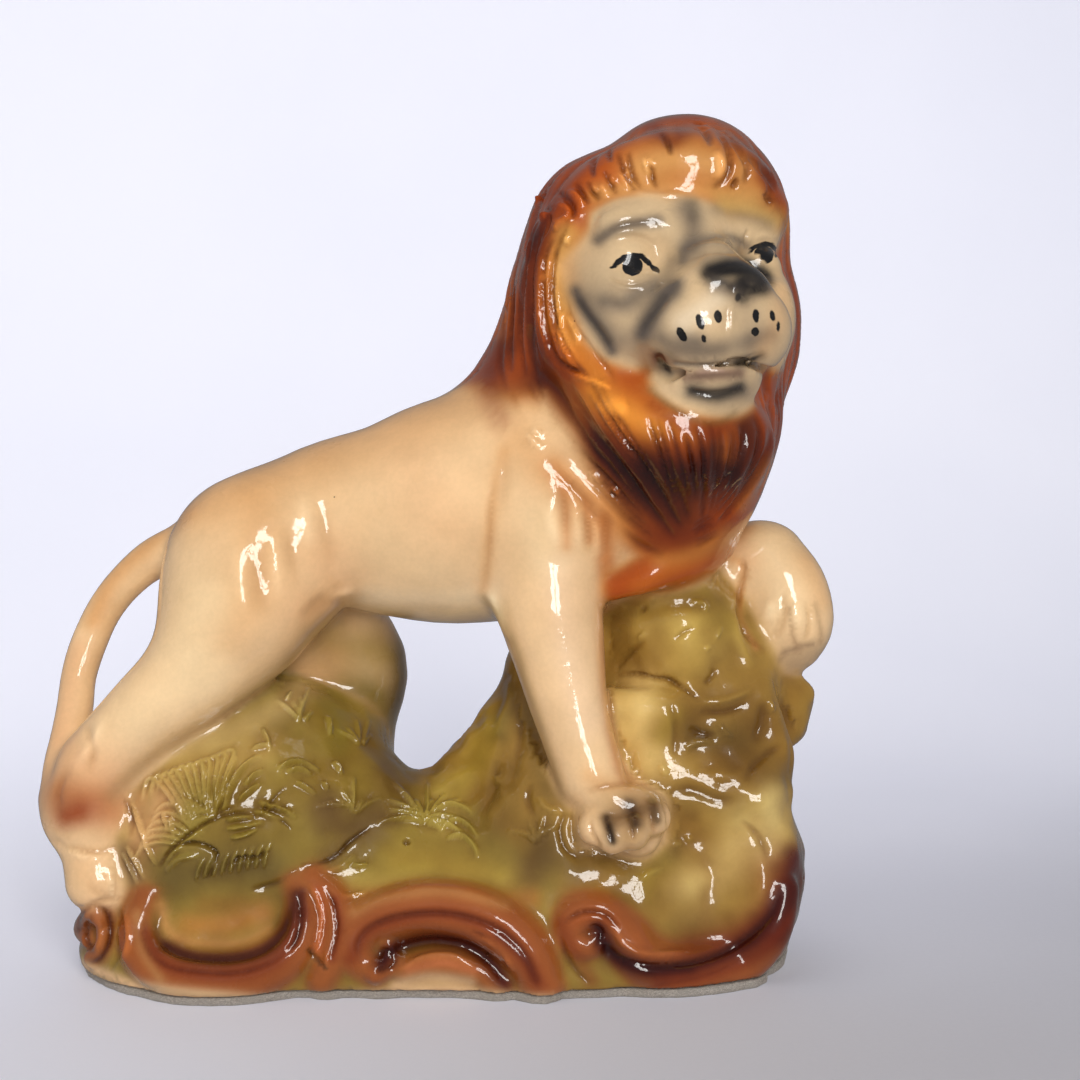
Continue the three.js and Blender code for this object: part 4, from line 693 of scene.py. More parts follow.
def lines_at(u, v, W, back):
    """Ridges and grooves at front-view points; W has each point's share in each group."""
    up, down = np.zeros(len(u)), np.zeros(len(u))
    order = np.argsort(u)
    us = u[order]
    for groups, height, width, pts, head, fade, lean, share in LINES:
        if back:
            if not share:
                continue
            height = height * share
        m = 3.2 * width
        i0, i1 = np.searchsorted(us, [pts[:, 0].min() - m, pts[:, 0].max() + m])
        k = order[i0:i1]
        k = k[(v[k] > pts[:, 1].min() - m) & (v[k] < pts[:, 1].max() + m)]
        if not len(k):
            continue
        w = W[k][:, [GROUPS.index(g) for g in groups]].sum(1)
        k, w = k[w > 0.03], w[w > 0.03]
        d, side, s = to_line(u[k], v[k], pts)
        ww = width * (1 + lean * side)
        h = abs(height) * BOLD.get(groups[0], 1.0) * np.exp(-(d / ww) ** 2) * ends(s, head, fade) * w
        if height > 0:
            up[k] = np.maximum(up[k], h)
        else:
            down[k] = np.maximum(down[k], h)
    return up - down


def soft_groups(D, s=1.0):
    w = np.exp(-(D - D.min(1, keepdims=True)) / s)
    return w / w.sum(1, keepdims=True)


def hidden_relief(P, N, W):
    """Plainer finish where the front view doesn't see: long mane locks, lumpy rock, some grass."""
    x, y, z = P.T
    turn = np.arctan2(y, x - 60)
    wave = 13 * turn + 1.6 * np.sin(z / 15 + 0.8) + 1.3 * noise(P, 26, 3)
    lock = 0.75 * (np.abs(np.sin(wave / 1.0)) - 0.65) + 0.25 * (np.abs(np.sin(wave * 2.7 + 1.0)) - 0.6)
    crown = np.clip((z - 205) / 18, 0, 1)
    lock = lock * (1 - crown) * np.clip((z - 118) / 14, 0, 1)
    rock = 1.1 * noise(P, 13, 5) + 0.55 * noise(P, 6, 6)
    blade = np.abs(np.sin((x * 0.55 + 2.2 * np.sin(z / 9.0) + 2.4 * noise(P, 17, 8)))) ** 2
    grass = 0.6 * blade * np.clip(noise(P, 14, 9) + 0.55, 0, 1) * np.clip((z - 16) / 8, 0, 1)
    flute = 0.5 * np.sin(z / 2.3) * np.clip((17 - z) / 6, 0, 1)
    i = GROUPS.index
    return W[:, i("mane")] * lock + W[:, i("rock")] * rock + W[:, i("base")] * (grass + 0.5 * noise(P, 9, 4) + flute)


def relief(P, N, W, vis):
    u, v, _ = seen(P)
    out = np.zeros(len(P))
    k = vis > 0.02
    out[k] = lines_at(u[k], v[k], W[k], False) * vis[k]
    # hammered, melted unevenness of the rock and of the mound, finer and softer elsewhere
    i = GROUPS.index
    rocky = W[:, i("rock")]
    out += rocky * vis * (0.8 * noise(P, 9, 11) + 0.4 * noise(P, 4.2, 12)) + W[:, i("base")] * vis * (0.45 * noise(P, 8, 13) + 0.2 * noise(P, 3.6, 14))
    out += (W[:, i("mane")] * 0.16 + W[:, i("scroll")] * 0.12 + W[:, i("body")] * 0.07 + W[:, i("face")] * 0.05) * noise(P, 7, 15)
    far = np.clip((N[:, 1] + 0.05) / 0.3, 0, 1) * (1 - vis)
    k = far > 0.02
    if k.any():
        Q = P[k] * np.array([1, -1, 1])
        um, vm, _ = seen(Q)
        out[k] += lines_at(um, vm, W[k], True) * far[k]
    side = 1 - vis
    out += hidden_relief(P, N, W) * side * np.clip((2.3 + 4 - 0 * P[:, 2]), 0, 1)
    # the foot stays flat and the rim above the felt is plain
    return out * np.clip((P[:, 2] - FOOT) / 3.0, 0, 1)


# ---------------------------------------------------------------- 4 airbrushed paint
def lin(r, g, b):
    c = np.array([r, g, b], float) / 255
    return np.where(c <= 0.04045, c / 12.92, ((c + 0.055) / 1.055) ** 2.4)


COAT_OF = {"base": lin(166, 148, 70), "rock": lin(182, 150, 82), "body": lin(238, 203, 158), "mane": lin(196, 106, 46),
           "face": lin(230, 200, 156), "scroll": lin(186, 116, 66)}
CREAM, PEACH, TAN, ORANGE = lin(243, 216, 172), lin(236, 188, 142), lin(220, 164, 106), lin(206, 128, 64)
RUST, MAROON, DARK = lin(150, 66, 28), lin(104, 34, 16), lin(80, 22, 10)
AMBER, GREY, SOOT = lin(222, 148, 82), lin(112, 98, 86), lin(50, 42, 37)
OLIVE, STRAW, MOSS, UMBER, BARK = lin(164, 140, 62), lin(212, 186, 114), lin(188, 166, 78), lin(126, 100, 58), lin(106, 84, 50)
DEPTH = {"base": ((1.42, 1.40, 1.24), (1.0, 0.93, 0.88)), "rock": ((1.42, 1.36, 1.3), (0.98, 0.94, 0.84)), "body": ((1.1, 1.1, 1.12), (0.97, 0.96, 0.96)),
         "mane": ((1.55, 1.42, 1.5), (0.96, 0.98, 0.85)), "face": ((1.2, 1.16, 1.12), (0.93, 0.94, 0.95)), "scroll": ((1.35, 1.3, 1.3), (0.80, 0.78, 0.80))}
SPRAYS = []   # groups, colour, strength, width, points, carried to the far side


def spray(groups, colour, strength, width, *pts, far=1.0):
    SPRAYS.append((groups.split(), colour, strength, float(width), np.array(pts, float) if len(pts) < 3 else curve(pts, 4), far))


# body
B = "body"
spray(B, TAN, 0.55, 34, (470, 392), (400, 420), (330, 448), (262, 470), (205, 500))
spray(B, TAN, 0.45, 30, (255, 500), (262, 545), (250, 590))
spray(B, TAN, 0.30, 22, (240, 610), (228, 640))
spray(B, PEACH, 0.55, 34, (330, 560), (345, 600), (310, 610))
spray(B, PEACH, 0.35, 40, (420, 470), (440, 520))
spray(B, CREAM, 0.65, 34, (200, 600), (190, 650), (215, 680))
spray(B, CREAM, 0.60, 30, (180, 690), (140, 720))
spray(B, CREAM, 0.45, 36, (385, 560), (440, 590))
spray(B, lin(232, 216, 160), 0.4, 14, (380, 612), (440, 616), (492, 612))
spray(B, TAN, 0.75, 12, (186, 512), (150, 540), (115, 575), (92, 620))
spray(B, PEACH, 0.7, 14, (76, 650), (66, 700), (60, 740))
spray(B, PEACH, 0.75, 26, (70, 760), (100, 775))
spray(B, ORANGE, 0.55, 20, (60, 790), (90, 800), (118, 812))
spray(B, RUST, 0.85, 14, (66, 815), (80, 812))
spray(B, RUST, 0.5, 22, (60, 800), (98, 806))
spray(B, lin(238, 196, 150), 0.6, 18, (88, 862), (92, 895))
spray(B, UMBER, 0.35, 9, (112, 795), (150, 762), (200, 730), (260, 690), (310, 640))
spray(B, BARK, 0.42, 12, (318, 634), (340, 618), (372, 606), (405, 618))
spray(B, lin(168, 142, 90), 0.95, 24, (335, 645), (365, 648), (395, 652))
spray(B, lin(136, 116, 60), 1.0, 28, (345, 690), (372, 700), (380, 740))
# painted shade: dark band down the far hind leg's right edge, between the legs
spray(B, lin(84, 68, 40), 0.95, 15, (410, 636), (404, 680), (394, 735))
# painted light: the lower edge of the belly lightened, standing in for light thrown up from the floor
spray(B, lin(255, 230, 192), 0.85, 15, (372, 600), (430, 602), (488, 598))
spray(B + " base rock", OLIVE, 0.75, 22, (330, 720), (350, 735), (370, 740))
spray(B, TAN, 0.35, 26, (330, 660), (310, 680))
# painted highlight: pale streak down the near foreleg, along the window's reflection
spray(B, lin(246, 214, 180), 0.5, 20, (560, 570), (568, 640), (585, 720))
spray(B, ORANGE, 0.55, 7, (604, 560), (604, 620), (608, 690), (618, 760), (628, 782))
# painted shade: umber along the crease at the near foreleg's left edge
spray(B, UMBER, 0.40, 5, (486, 598), (512, 640), (528, 690), (548, 755), (568, 818))
spray(B, TAN, 0.45, 10, (590, 775), (606, 784), (640, 784))
spray(B, lin(168, 132, 86), 0.75, 20, (618, 806), (640, 806), (630, 836))
spray(B, lin(110, 78, 48), 0.7, 11, (612, 822), (634, 812), (652, 806))
spray(B, lin(66, 46, 30), 0.95, 5.5, (606, 818), (612, 840))
spray(B, lin(76, 54, 36), 0.95, 7.0, (629, 804), (635, 824))
spray(B, lin(90, 66, 42), 0.85, 6.0, (652, 802), (656, 820))
spray(B, SOOT, 0.55, 3.2, (608, 828), (613, 843))
spray(B, CREAM, 0.5, 30, (770, 560), (785, 600))
spray(B, PEACH, 0.5, 14, (736, 540), (748, 560))
spray(B, TAN, 0.35, 14, (808, 560), (824, 600))
# painted shade: grey under the raised paw
spray(B, GREY, 0.32, 14, (790, 660), (822, 652))
spray(B, lin(176, 140, 104), 0.6, 2.6, (791, 606), (793, 630), (799, 650))
spray(B, lin(176, 140, 104), 0.5, 2.6, (816, 604), (820, 625), (821, 642))
spray(B, lin(150, 122, 96), 0.6, 3, (779, 660), (786, 650), (798, 646), (812, 642))
spray(B + " rock", TAN, 0.65, 4, (722, 552), (738, 560), (744, 572), (741, 600), (742, 622), (756, 646))
# shoulder and chest under the mane
spray(B + " mane", ORANGE, 0.75, 14, (556, 470), (590, 500), (622, 530), (655, 552))
spray(B + " mane", TAN, 0.5, 26, (520, 440), (560, 480), (610, 530))
spray(B, CREAM, 0.55, 20, (535, 520), (545, 560))
spray(B, TAN, 0.45, 7, (503, 452), (492, 500), (489, 550), (485, 590))
spray(B, ORANGE, 0.45, 6, (562, 480), (566, 520), (568, 545))
spray(B, ORANGE, 0.45, 5, (586, 500), (590, 540))
spray(B + " rock", ORANGE, 0.7, 9, (604, 520), (608, 555), (612, 590))
spray(B + " rock mane", ORANGE, 0.65, 12, (640, 588), (672, 570), (706, 550), (738, 528))
spray(B, ORANGE, 0.5, 12, (726, 524), (748, 520))
# mane
H = "mane"
# painted highlight: pale band along the crest of the quiff
spray(H, lin(236, 190, 140), 0.8, 24, (645, 168), (690, 158), (735, 170))
spray(H, lin(234, 186, 134), 0.7, 13, (600, 196), (640, 192), (690, 192), (755, 194))
spray(H, RUST, 0.55, 12, (560, 168), (590, 145), (625, 124), (660, 113), (700, 113))
spray(H, RUST, 0.65, 9, (655, 128), (672, 142), (680, 135))
spray(H, RUST, 0.6, 9, (722, 124), (740, 142), (760, 158), (778, 180))
spray(H, ORANGE, 0.5, 10, (725, 130), (735, 155), (728, 180))
spray(H, RUST, 0.55, 8, (765, 178), (775, 198), (783, 215))
spray(H, RUST, 0.75, 18, (548, 195), (538, 225), (525, 240))
spray(H, MAROON, 0.55, 8, (535, 235), (528, 285), (532, 330), (545, 370))
spray(H, MAROON, 0.45, 6, (518, 262), (514, 310), (512, 350))
spray(H, AMBER, 0.6, 8, (506, 265), (503, 305), (500, 335))
spray(H, AMBER, 0.6, 6, (545, 262), (540, 300), (546, 330))
spray(H + " face", lin(236, 184, 122), 0.85, 12, (566, 236), (560, 262), (560, 300), (570, 335))
spray(H, lin(226, 156, 84), 0.75, 14, (566, 320), (580, 350), (600, 375))
spray(H, MAROON, 0.5, 14, (500, 350), (492, 385), (505, 410))
spray(H + " body", RUST, 0.45, 12, (496, 360), (486, 388), (500, 420))
spray(H, ORANGE, 0.4, 16, (520, 400), (530, 425))
spray(H, MAROON, 0.85, 24, (545, 385), (570, 425), (596, 455))
spray(H, MAROON, 0.8, 14, (600, 440), (620, 470))
spray(H, lin(232, 164, 88), 0.9, 20, (598, 395), (625, 410), (650, 425))
spray(H, lin(232, 164, 88), 0.5, 12, (668, 425), (690, 432))
spray(H, DARK, 0.85, 30, (650, 470), (690, 475), (715, 460))
spray(H, DARK, 0.65, 26, (640, 490), (675, 515))
spray(H, RUST, 0.5, 16, (640, 540), (690, 540), (725, 520))
spray(H, TAN, 0.45, 10, (660, 560), (700, 552), (728, 535))
spray(H, DARK, 0.7, 16, (748, 425), (752, 450), (735, 475))
spray(H, RUST, 0.6, 14, (780, 395), (784, 420), (770, 455))
spray(H, ORANGE, 0.45, 10, (728, 430), (725, 455))
spray(H, TAN, 0.35, 8, (772, 462), (756, 486), (742, 505))
spray(H, RUST, 0.55, 12, (800, 260), (808, 320), (800, 360))
spray(H, ORANGE, 0.4, 10, (786, 225), (794, 260))
spray(H, RUST, 0.5, 10, (655, 405), (690, 428), (725, 425))
# face: grey shading, warm edges
K = "face"
spray(K + " mane", lin(232, 186, 130), 0.6, 12, (570, 235), (566, 270), (572, 305))
spray(K, GREY, 0.8, 7, (599, 240), (618, 228), (645, 222), (657, 220))
spray(K, GREY, 0.5, 9, (672, 262), (668, 280), (676, 292))
spray(K, GREY, 0.7, 14, (686, 208), (694, 228), (690, 245))
spray(K + " mane", lin(226, 192, 142), 0.8, 13, (722, 206), (752, 210), (776, 222))
spray(K, SOOT, 0.35, 7, (692, 203), (694, 216))
spray(K, GREY, 0.55, 10, (716, 206), (745, 212), (770, 222))
spray(K, GREY, 0.65, 6, (682, 262), (686, 248), (708, 239), (732, 240), (746, 247))
spray(K, GREY, 0.35, 10, (690, 258), (712, 250), (735, 252))
spray(K, GREY, 0.7, 11, (606, 302), (625, 304), (642, 292), (655, 286))
spray(K, GREY, 0.6, 15, (668, 292), (654, 310), (645, 330))
spray(K, GREY, 0.9, 8, (676, 284), (664, 300), (650, 320), (641, 334))
spray(K, SOOT, 0.45, 6, (664, 298), (650, 318), (644, 326))
spray(K, GREY, 0.5, 13, (586, 300), (602, 322), (618, 340))
spray(K + " mane", GREY, 0.9, 7, (574, 290), (584, 310), (600, 330), (612, 350))
spray(K + " mane", SOOT, 0.45, 5, (580, 302), (596, 325), (609, 342))
spray(K, GREY, 0.35, 20, (640, 350), (655, 335))
spray(K, GREY, 0.22, 26, (620, 292), (600, 284))
spray(K, GREY, 0.12, 22, (605, 232), (640, 226), (680, 222))
# painted shade: grey along the underside of the muzzle
spray(K, GREY, 0.45, 12, (690, 345), (715, 350), (745, 345))
spray(K, GREY, 0.6, 10, (684, 338), (696, 342))
spray(K, GREY, 0.6, 9, (752, 340), (770, 335))
spray(K, GREY, 0.35, 22, (744, 312), (756, 330), (750, 344))
# painted highlight: pale patch on the left lobe of the muzzle
spray(K, lin(244, 226, 196), 0.6, 12, (716, 300), (700, 312), (686, 322))
spray(K, lin(40, 33, 30), 1.0, 8, (710, 269), (728, 264), (748, 266), (764, 276))
spray(K, lin(36, 30, 27), 1.0, 8, (716, 271), (735, 270), (755, 272), (766, 280))
spray(K, lin(36, 30, 27), 1.0, 9, (742, 282), (750, 290), (762, 288))
spray(K, lin(58, 48, 40), 0.9, 7, (706, 274), (716, 280), (738, 288))
spray(K, lin(120, 106, 92), 0.7, 3.5, (748, 281), (754, 281))
spray(K, SOOT, 0.85, 9, (748, 278), (764, 284))
spray(K, SOOT, 0.85, 7, (740, 285), (742, 299))
spray(K, GREY, 0.5, 10, (715, 285), (730, 292))
spray(K, SOOT, 0.9, 6, (657, 357), (662, 364))
spray(K, SOOT, 0.6, 5, (664, 368), (670, 374))
spray(K, GREY, 0.6, 12, (660, 362), (668, 358))
spray(K, lin(132, 100, 82), 0.85, 7.5, (686, 377), (710, 376), (740, 374))
spray(K, lin(196, 160, 140), 0.5, 3, (700, 372), (722, 371))
spray(K, GREY, 0.7, 4, (675, 363), (705, 366), (735, 364), (748, 359))
# painted shade: grey and soot under the lower lip
spray(K, GREY, 0.7, 9, (690, 392), (715, 396), (742, 390))
spray(K, SOOT, 0.85, 6, (692, 391), (715, 395), (740, 388))
spray(K, SOOT, 0.8, 5, (738, 364), (750, 362), (762, 356))
# painted shade: grey along the underside of the muzzle
spray(K, GREY, 0.5, 8, (664, 340), (690, 352), (720, 352))
spray(K + " mane", UMBER, 0.35, 4, (652, 390), (672, 407), (694, 419), (716, 421), (734, 412))
spray(K, lin(226, 176, 122), 0.35, 12, (765, 350), (778, 320), (784, 290))
# rock and mound
R = "rock base"
spray(R, STRAW, 0.55, 30, (650, 610), (690, 625), (720, 640))
spray(R, OLIVE, 0.5, 20, (700, 590), (725, 620))
spray(R, lin(228, 202, 142), 0.9, 22, (640, 690), (640, 730), (650, 760))
spray(R, lin(222, 190, 124), 0.6, 14, (622, 700), (626, 740), (632, 770))
spray(R, MOSS, 0.5, 12, (660, 735), (676, 715))
spray(R, lin(140, 106, 56), 0.6, 28, (700, 712), (745, 715), (775, 722))
spray(R, UMBER, 0.65, 18, (695, 740), (730, 742))
spray(R, lin(120, 92, 44), 0.75, 22, (738, 752), (765, 765), (792, 775))
spray(R, lin(140, 106, 52), 0.7, 20, (640, 895), (670, 900), (705, 905))
spray(R, lin(150, 118, 56), 0.5, 12, (640, 612), (690, 604), (716, 600))
spray(R, lin(150, 112, 52), 0.5, 22, (720, 770), (760, 765))
spray(R, lin(170, 134, 66), 0.5, 14, (795, 690), (790, 735), (780, 765))
spray(R, UMBER, 0.4, 16, (655, 800), (700, 800), (735, 808))
# painted highlight: pale cream across the rock's right bulge
spray(R, lin(228, 204, 144), 0.75, 26, (745, 835), (720, 870), (690, 885))
spray(R, lin(186, 156, 86), 0.5, 16, (660, 905), (700, 912), (745, 900))
# painted light: pale cream on the rock's side turned to the right, towards the window
spray(R, lin(232, 212, 156), 0.7, 20, (776, 800), (770, 850))
spray(R, lin(160, 124, 62), 0.5, 18, (660, 815), (690, 830), (700, 850))
spray(R, MOSS, 0.5, 18, (660, 860), (640, 885))
spray(R, UMBER, 0.5, 14, (590, 858), (640, 862), (672, 850))
spray(R, UMBER, 0.65, 24, (545, 835), (530, 870))
spray(R, BARK, 0.45, 18, (548, 850), (575, 872))
spray(R, UMBER, 0.55, 16, (528, 700), (538, 750), (550, 790))
spray(R, MOSS, 0.6, 16, (492, 720), (476, 760), (460, 790))
spray(R, BARK, 0.45, 12, (500, 665), (508, 690), (500, 735))
spray(R, UMBER, 0.4, 20, (505, 775), (500, 820))
spray(R, lin(190, 172, 92), 0.45, 16, (440, 790), (450, 830))
spray(R, lin(226, 206, 148), 0.55, 16, (180, 748), (215, 738), (262, 715), (300, 690))
spray(R, STRAW, 0.6, 22, (170, 770), (215, 765), (260, 750))
spray(R, lin(224, 188, 134), 0.75, 20, (138, 800), (140, 840), (160, 800))
spray(R, lin(224, 188, 134), 0.55, 16, (120, 862), (135, 880))
spray(R, lin(140, 128, 92), 0.6, 9, (118, 850), (128, 872), (136, 892))
spray(R, OLIVE, 0.5, 26, (230, 800), (280, 800), (320, 780))
spray(R, lin(126, 110, 60), 0.6, 20, (170, 880), (220, 868), (275, 870))
spray(R, UMBER, 0.65, 18, (325, 810), (350, 830), (380, 815), (330, 860))
spray(R, lin(132, 108, 62), 0.5, 14, (330, 800), (320, 830))
spray(R, UMBER, 0.55, 14, (385, 770), (400, 785), (430, 770))
spray(R, BARK, 0.5, 16, (372, 735), (396, 765))
spray(R, MOSS, 0.65, 18, (400, 860), (450, 866), (500, 880))
spray(R, lin(196, 178, 96), 0.5, 12, (352, 880), (400, 886), (460, 890))
spray(R, lin(150, 140, 60), 0.6, 16, (330, 700), (340, 740))
spray(R + " scroll", lin(196, 150, 74), 0.85, 14, (188, 925), (225, 925), (262, 912))
spray(R + " scroll", lin(168, 132, 60), 0.5, 10, (205, 905), (240, 905))
spray(R, ORANGE, 0.35, 12, (340, 900), (400, 900), (470, 904), (530, 900))
spray(R + " scroll", RUST, 0.6, 14, (792, 870), (788, 910), (770, 935))
spray(R + " scroll", RUST, 0.6, 16, (780, 925), (740, 938), (690, 945))
spray(R + " scroll", lin(150, 84, 50), 0.6, 26, (775, 870), (776, 905), (760, 930))
spray(R + " scroll", lin(112, 50, 36), 1.0, 15, (798, 858), (794, 895), (780, 932))
# scrolls: rust on the rolls, maroon down in the flutes, cream on the foot
S_ = "scroll base rock"
spray(S_, lin(214, 168, 112), 0.6, 6, (136, 915), (142, 950), (160, 978))
spray(S_, RUST, 0.65, 10, (146, 935), (162, 962), (200, 974), (245, 972), (282, 954), (300, 915))
spray(S_, lin(222, 176, 110), 0.6, 7, (160, 905), (168, 930), (190, 942), (240, 944), (268, 930))
spray(S_, lin(104, 44, 20), 0.85, 8, (166, 945), (195, 957), (235, 958), (270, 946), (292, 915), (296, 896))
spray(S_, MAROON, 0.6, 4, (302, 893), (303, 920), (294, 945))
spray(S_, lin(196, 112, 62), 0.7, 6, (318, 892), (322, 920), (318, 950))
spray(S_, RUST, 0.6, 5, (334, 900), (338, 930), (332, 960))
spray(S_, RUST, 0.6, 9, (350, 960), (368, 930), (410, 916), (455, 916), (500, 932), (526, 960), (540, 988))
spray(S_, lin(220, 170, 112), 0.5, 6, (352, 912), (380, 898), (420, 892), (460, 894), (505, 906))
spray(S_, MAROON, 0.95, 10, (382, 962), (398, 946), (430, 938), (466, 944), (492, 962), (506, 984))
spray(S_, DARK, 0.6, 4, (378, 970), (384, 955), (396, 948))
spray(S_, MAROON, 0.55, 5, (500, 935), (522, 955), (536, 980))
spray(S_, lin(214, 140, 92), 0.65, 5, (408, 970), (440, 962), (474, 970))
spray(S_, RUST, 0.45, 9, (560, 925), (575, 955), (590, 980))
spray(S_, MAROON, 0.95, 11, (598, 928), (606, 950), (628, 966), (670, 972), (720, 958), (762, 930), (786, 890))
spray(S_, DARK, 0.7, 6, (600, 938), (612, 958), (640, 970), (690, 970))
spray(S_, lin(190, 110, 56), 0.6, 6, (574, 922), (596, 914), (614, 922))
spray(S_, lin(120, 60, 34), 0.7, 3.2, (78, 930), (82, 914), (96, 906), (109, 916), (110, 940), (100, 958), (88, 962))
spray(S_, lin(130, 80, 54), 0.5, 3, (90, 918), (88, 935), (93, 950))
spray(S_, ORANGE, 0.4, 8, (122, 920), (124, 950))
spray(S_, CREAM, 0.85, 6.5, (78, 964), (120, 981), (160, 990), (220, 997), (300, 1000), (380, 994), (430, 990), (480, 993), (530, 1000), (600, 1001), (640, 998))
spray(S_, RUST, 0.6, 8, (660, 984), (710, 976), (760, 952), (794, 916))
spray(S_, CREAM, 0.7, 7, (395, 985), (430, 978), (470, 982))
spray(S_, BARK, 0.7, 1.6, (308, 950), (316, 960), (326, 969))


def brush(u, v, W, col, far):
    order = np.argsort(u)
    us = u[order]
    for groups, colour, strength, width, pts, share in SPRAYS:
        if far and (width < 20 or any(g in groups for g in ("face", "scroll", "mane"))):
            continue
        k_far = strength * (0.6 * share if far else 1.0)
        m = 2.4 * width
        i0, i1 = np.searchsorted(us, [pts[:, 0].min() - m, pts[:, 0].max() + m])
        k = order[i0:i1]
        k = k[(v[k] > pts[:, 1].min() - m) & (v[k] < pts[:, 1].max() + m)]
        if not len(k):
            continue
        w = W[k][:, [GROUPS.index(g) for g in groups]].sum(1)
        k, w = k[w > 0.02], w[w > 0.02]
        d, _, _ = to_line(u[k], v[k], pts)
        a = (k_far * np.exp(-(d / width) ** 2) * np.clip(w, 0, 1))[:, None]
        col[k] = col[k] * (1 - a) + colour * a


def paint(P, N, W, vis, R, hollow, soften):
    W = W ** 1.6
    W = W / W.sum(1, keepdims=True)
    plain = sum(W[:, [i]] * COAT_OF[g] for i, g in enumerate(GROUPS))
    share = soften(np.maximum(np.clip(vis * 3, 0, 1), np.clip(0.35 - 2.5 * N[:, 1], 0, 1)))[:, None]
    # brushwork isn't ruler-straight
    wob = np.stack([noise(P, 11, 31), noise(P, 11, 32)], 1) * 2.2
    col = np.zeros_like(plain)
    for far in (False, True):
        k = np.where(share[:, 0] < 0.999 if far else share[:, 0] > 0.001)[0]
        u, v, _ = seen(P[k] * np.array([1, -1, 1]) if far else P[k])
        c = plain[k].copy()
        brush(u + wob[k, 0], v + wob[k, 1], W[k], c, far)
        if far:   # the far side is sprayed plainly: darker hair ends and a rust band round the foot
            ends = W[k, GROUPS.index("mane")] * np.clip((168 - P[k, 2]) / 50, 0, 1)
            c += (ends * 0.75)[:, None] * (MAROON - c)
            foot = (W[k, GROUPS.index("base")] + W[k, GROUPS.index("scroll")] + W[k, GROUPS.index("rock")]) * np.clip((24 - P[k, 2] + 3 * wob[k, 0]) / 14, 0, 1)
            c += (foot * 0.8)[:, None] * (lin(140, 76, 44) - c)
        col[k] += (1 - share[k] if far else share[k]) * c
    i = GROUPS.index
    # painted shade and light: darker in hollows and grooves and lighter on ridges, along with colour that gathers in
    # the hollows
    tone = 0.55 * np.clip(R, -0.8, 0.6) * (W[:, i("mane")] + 0.6 * W[:, i("base")] + 0.5 * W[:, i("rock")] + 0.8 * W[:, i("scroll")] + 0.5 * W[:, i("body")])
    tone += 0.06 * noise(P, 16, 33) + 0.03 * noise(P, 5, 34)
    # painted shade: concave places darkened, less on the face
    tone -= np.clip(hollow, 0, 1) * 0.30 * (1 - 0.6 * W[:, i("face")])
    col = col * np.exp(tone)[:, None] ** np.array([0.75, 1.0, 1.25])
    # thin coats over white plaster: deeper and warmer where the colour is dense
    depth = sum(W[:, [i]] * np.array(DEPTH[g][0]) for i, g in enumerate(GROUPS))
    scale = sum(W[:, [i]] * np.array(DEPTH[g][1]) for i, g in enumerate(GROUPS))
    return np.clip(np.clip(col, 0.001, 1) ** depth * scale, 0.0015, 0.95)


# ---------------------------------------------------------------- building the casting
def wanted_edge(P, W, vis):
    """How long the mesh edges are: short where there is relief to carry."""
    i = GROUPS.index
    u, v, _ = seen(P)
    front = np.where(W[:, i("face")] > 0.4, 0.55, np.where(W[:, i("body")] > 0.6, 1.1, 0.68))
    grass = (vis > 0.1) & (u > 100) & (u < 500) & (v > 690) & (v < 905) & (W[:, i("body")] < 0.8)
    front = np.where(grass, 0.5, front)
    paw = (vis > 0.1) & (u > 575) & (u < 675) & (v > 770) & (v < 860)
    front = np.where(paw, 0.6, front)
    back = np.where(W[:, i("body")] > 0.6, 1.6, 1.15)
    e = np.where(vis > 0.05, front, back)
    return e * 1.0


def to_mesh(name, V, T):
    me = bpy.data.meshes.new(name)
    me.vertices.add(len(V))
    me.vertices.foreach_set("co", (V * MM).astype(np.float32).ravel())
    me.loops.add(3 * len(T))
    me.loops.foreach_set("vertex_index", T.astype(np.int32).ravel())
    me.polygons.add(len(T))
    me.polygons.foreach_set("loop_start", np.arange(0, 3 * len(T), 3, dtype=np.int32))
    me.update(calc_edges=True)
    me.validate()
    me.polygons.foreach_set("use_smooth", np.ones(len(me.polygons), bool))
    return me


def nearest(A, B, values):
    """values at the points of A nearest to each point of B."""
    from mathutils import kdtree
    tree = kdtree.KDTree(len(A))
    for i, p in enumerate(A.tolist()):
        tree.insert(p, i)
    tree.balance()
    idx = np.array([tree.find(p)[1] for p in B.tolist()])
    return values[idx]


G = grid_field(1.5)
V, T = surface_nets(G, 1.5)
del G
V = settle(V, T)
print("form", len(V), round(time.time() - T0, 1))
for again in range(2):
    N = normals(V, T)
    W = soft_groups(group_distances(V))
    vis, _ = visible(V, N, V)
    V, T = refine(V, T, wanted_edge(V, W, vis))
    V = settle(V, T)
    print("refined", len(V), len(T), round(time.time() - T0, 1))
N = normals(V, T)
W = soft_groups(group_distances(V))
vis, _ = visible(V, N, V)
V = V + N * relief(V, N, W, vis)[:, None]
V[:, 2] = np.maximum(V[:, 2], FOOT)
print("relief", round(time.time() - T0, 1))
dense_V, dense_N = V, normals(V, T)

lion = bpy.data.objects.new("chalkware_lion", to_mesh("chalkware_lion", V, T))
bpy.context.scene.collection.objects.link(lion)
LIMIT = 196_000
if len(T) > LIMIT:
    m = lion.modifiers.new("thin", "DECIMATE")
    m.ratio = LIMIT / len(T)
    bpy.context.view_layer.update()
    thin = bpy.data.meshes.new_from_object(lion.evaluated_get(bpy.context.evaluated_depsgraph_get()))
    lion.modifiers.clear()
    old, lion.data = lion.data, thin
    bpy.data.meshes.remove(old)
me = lion.data
me.name = "chalkware_lion"
n = len(me.vertices)
V = np.empty(n * 3, np.float32)
me.vertices.foreach_get("co", V)
V = V.reshape(n, 3).astype(float) / MM
N = nearest(dense_V, V, dense_N)
me.polygons.foreach_set("use_smooth", np.ones(len(me.polygons), bool))
me.normals_split_custom_set_from_vertices(N.tolist())
print("thinned", len(me.polygons), round(time.time() - T0, 1))

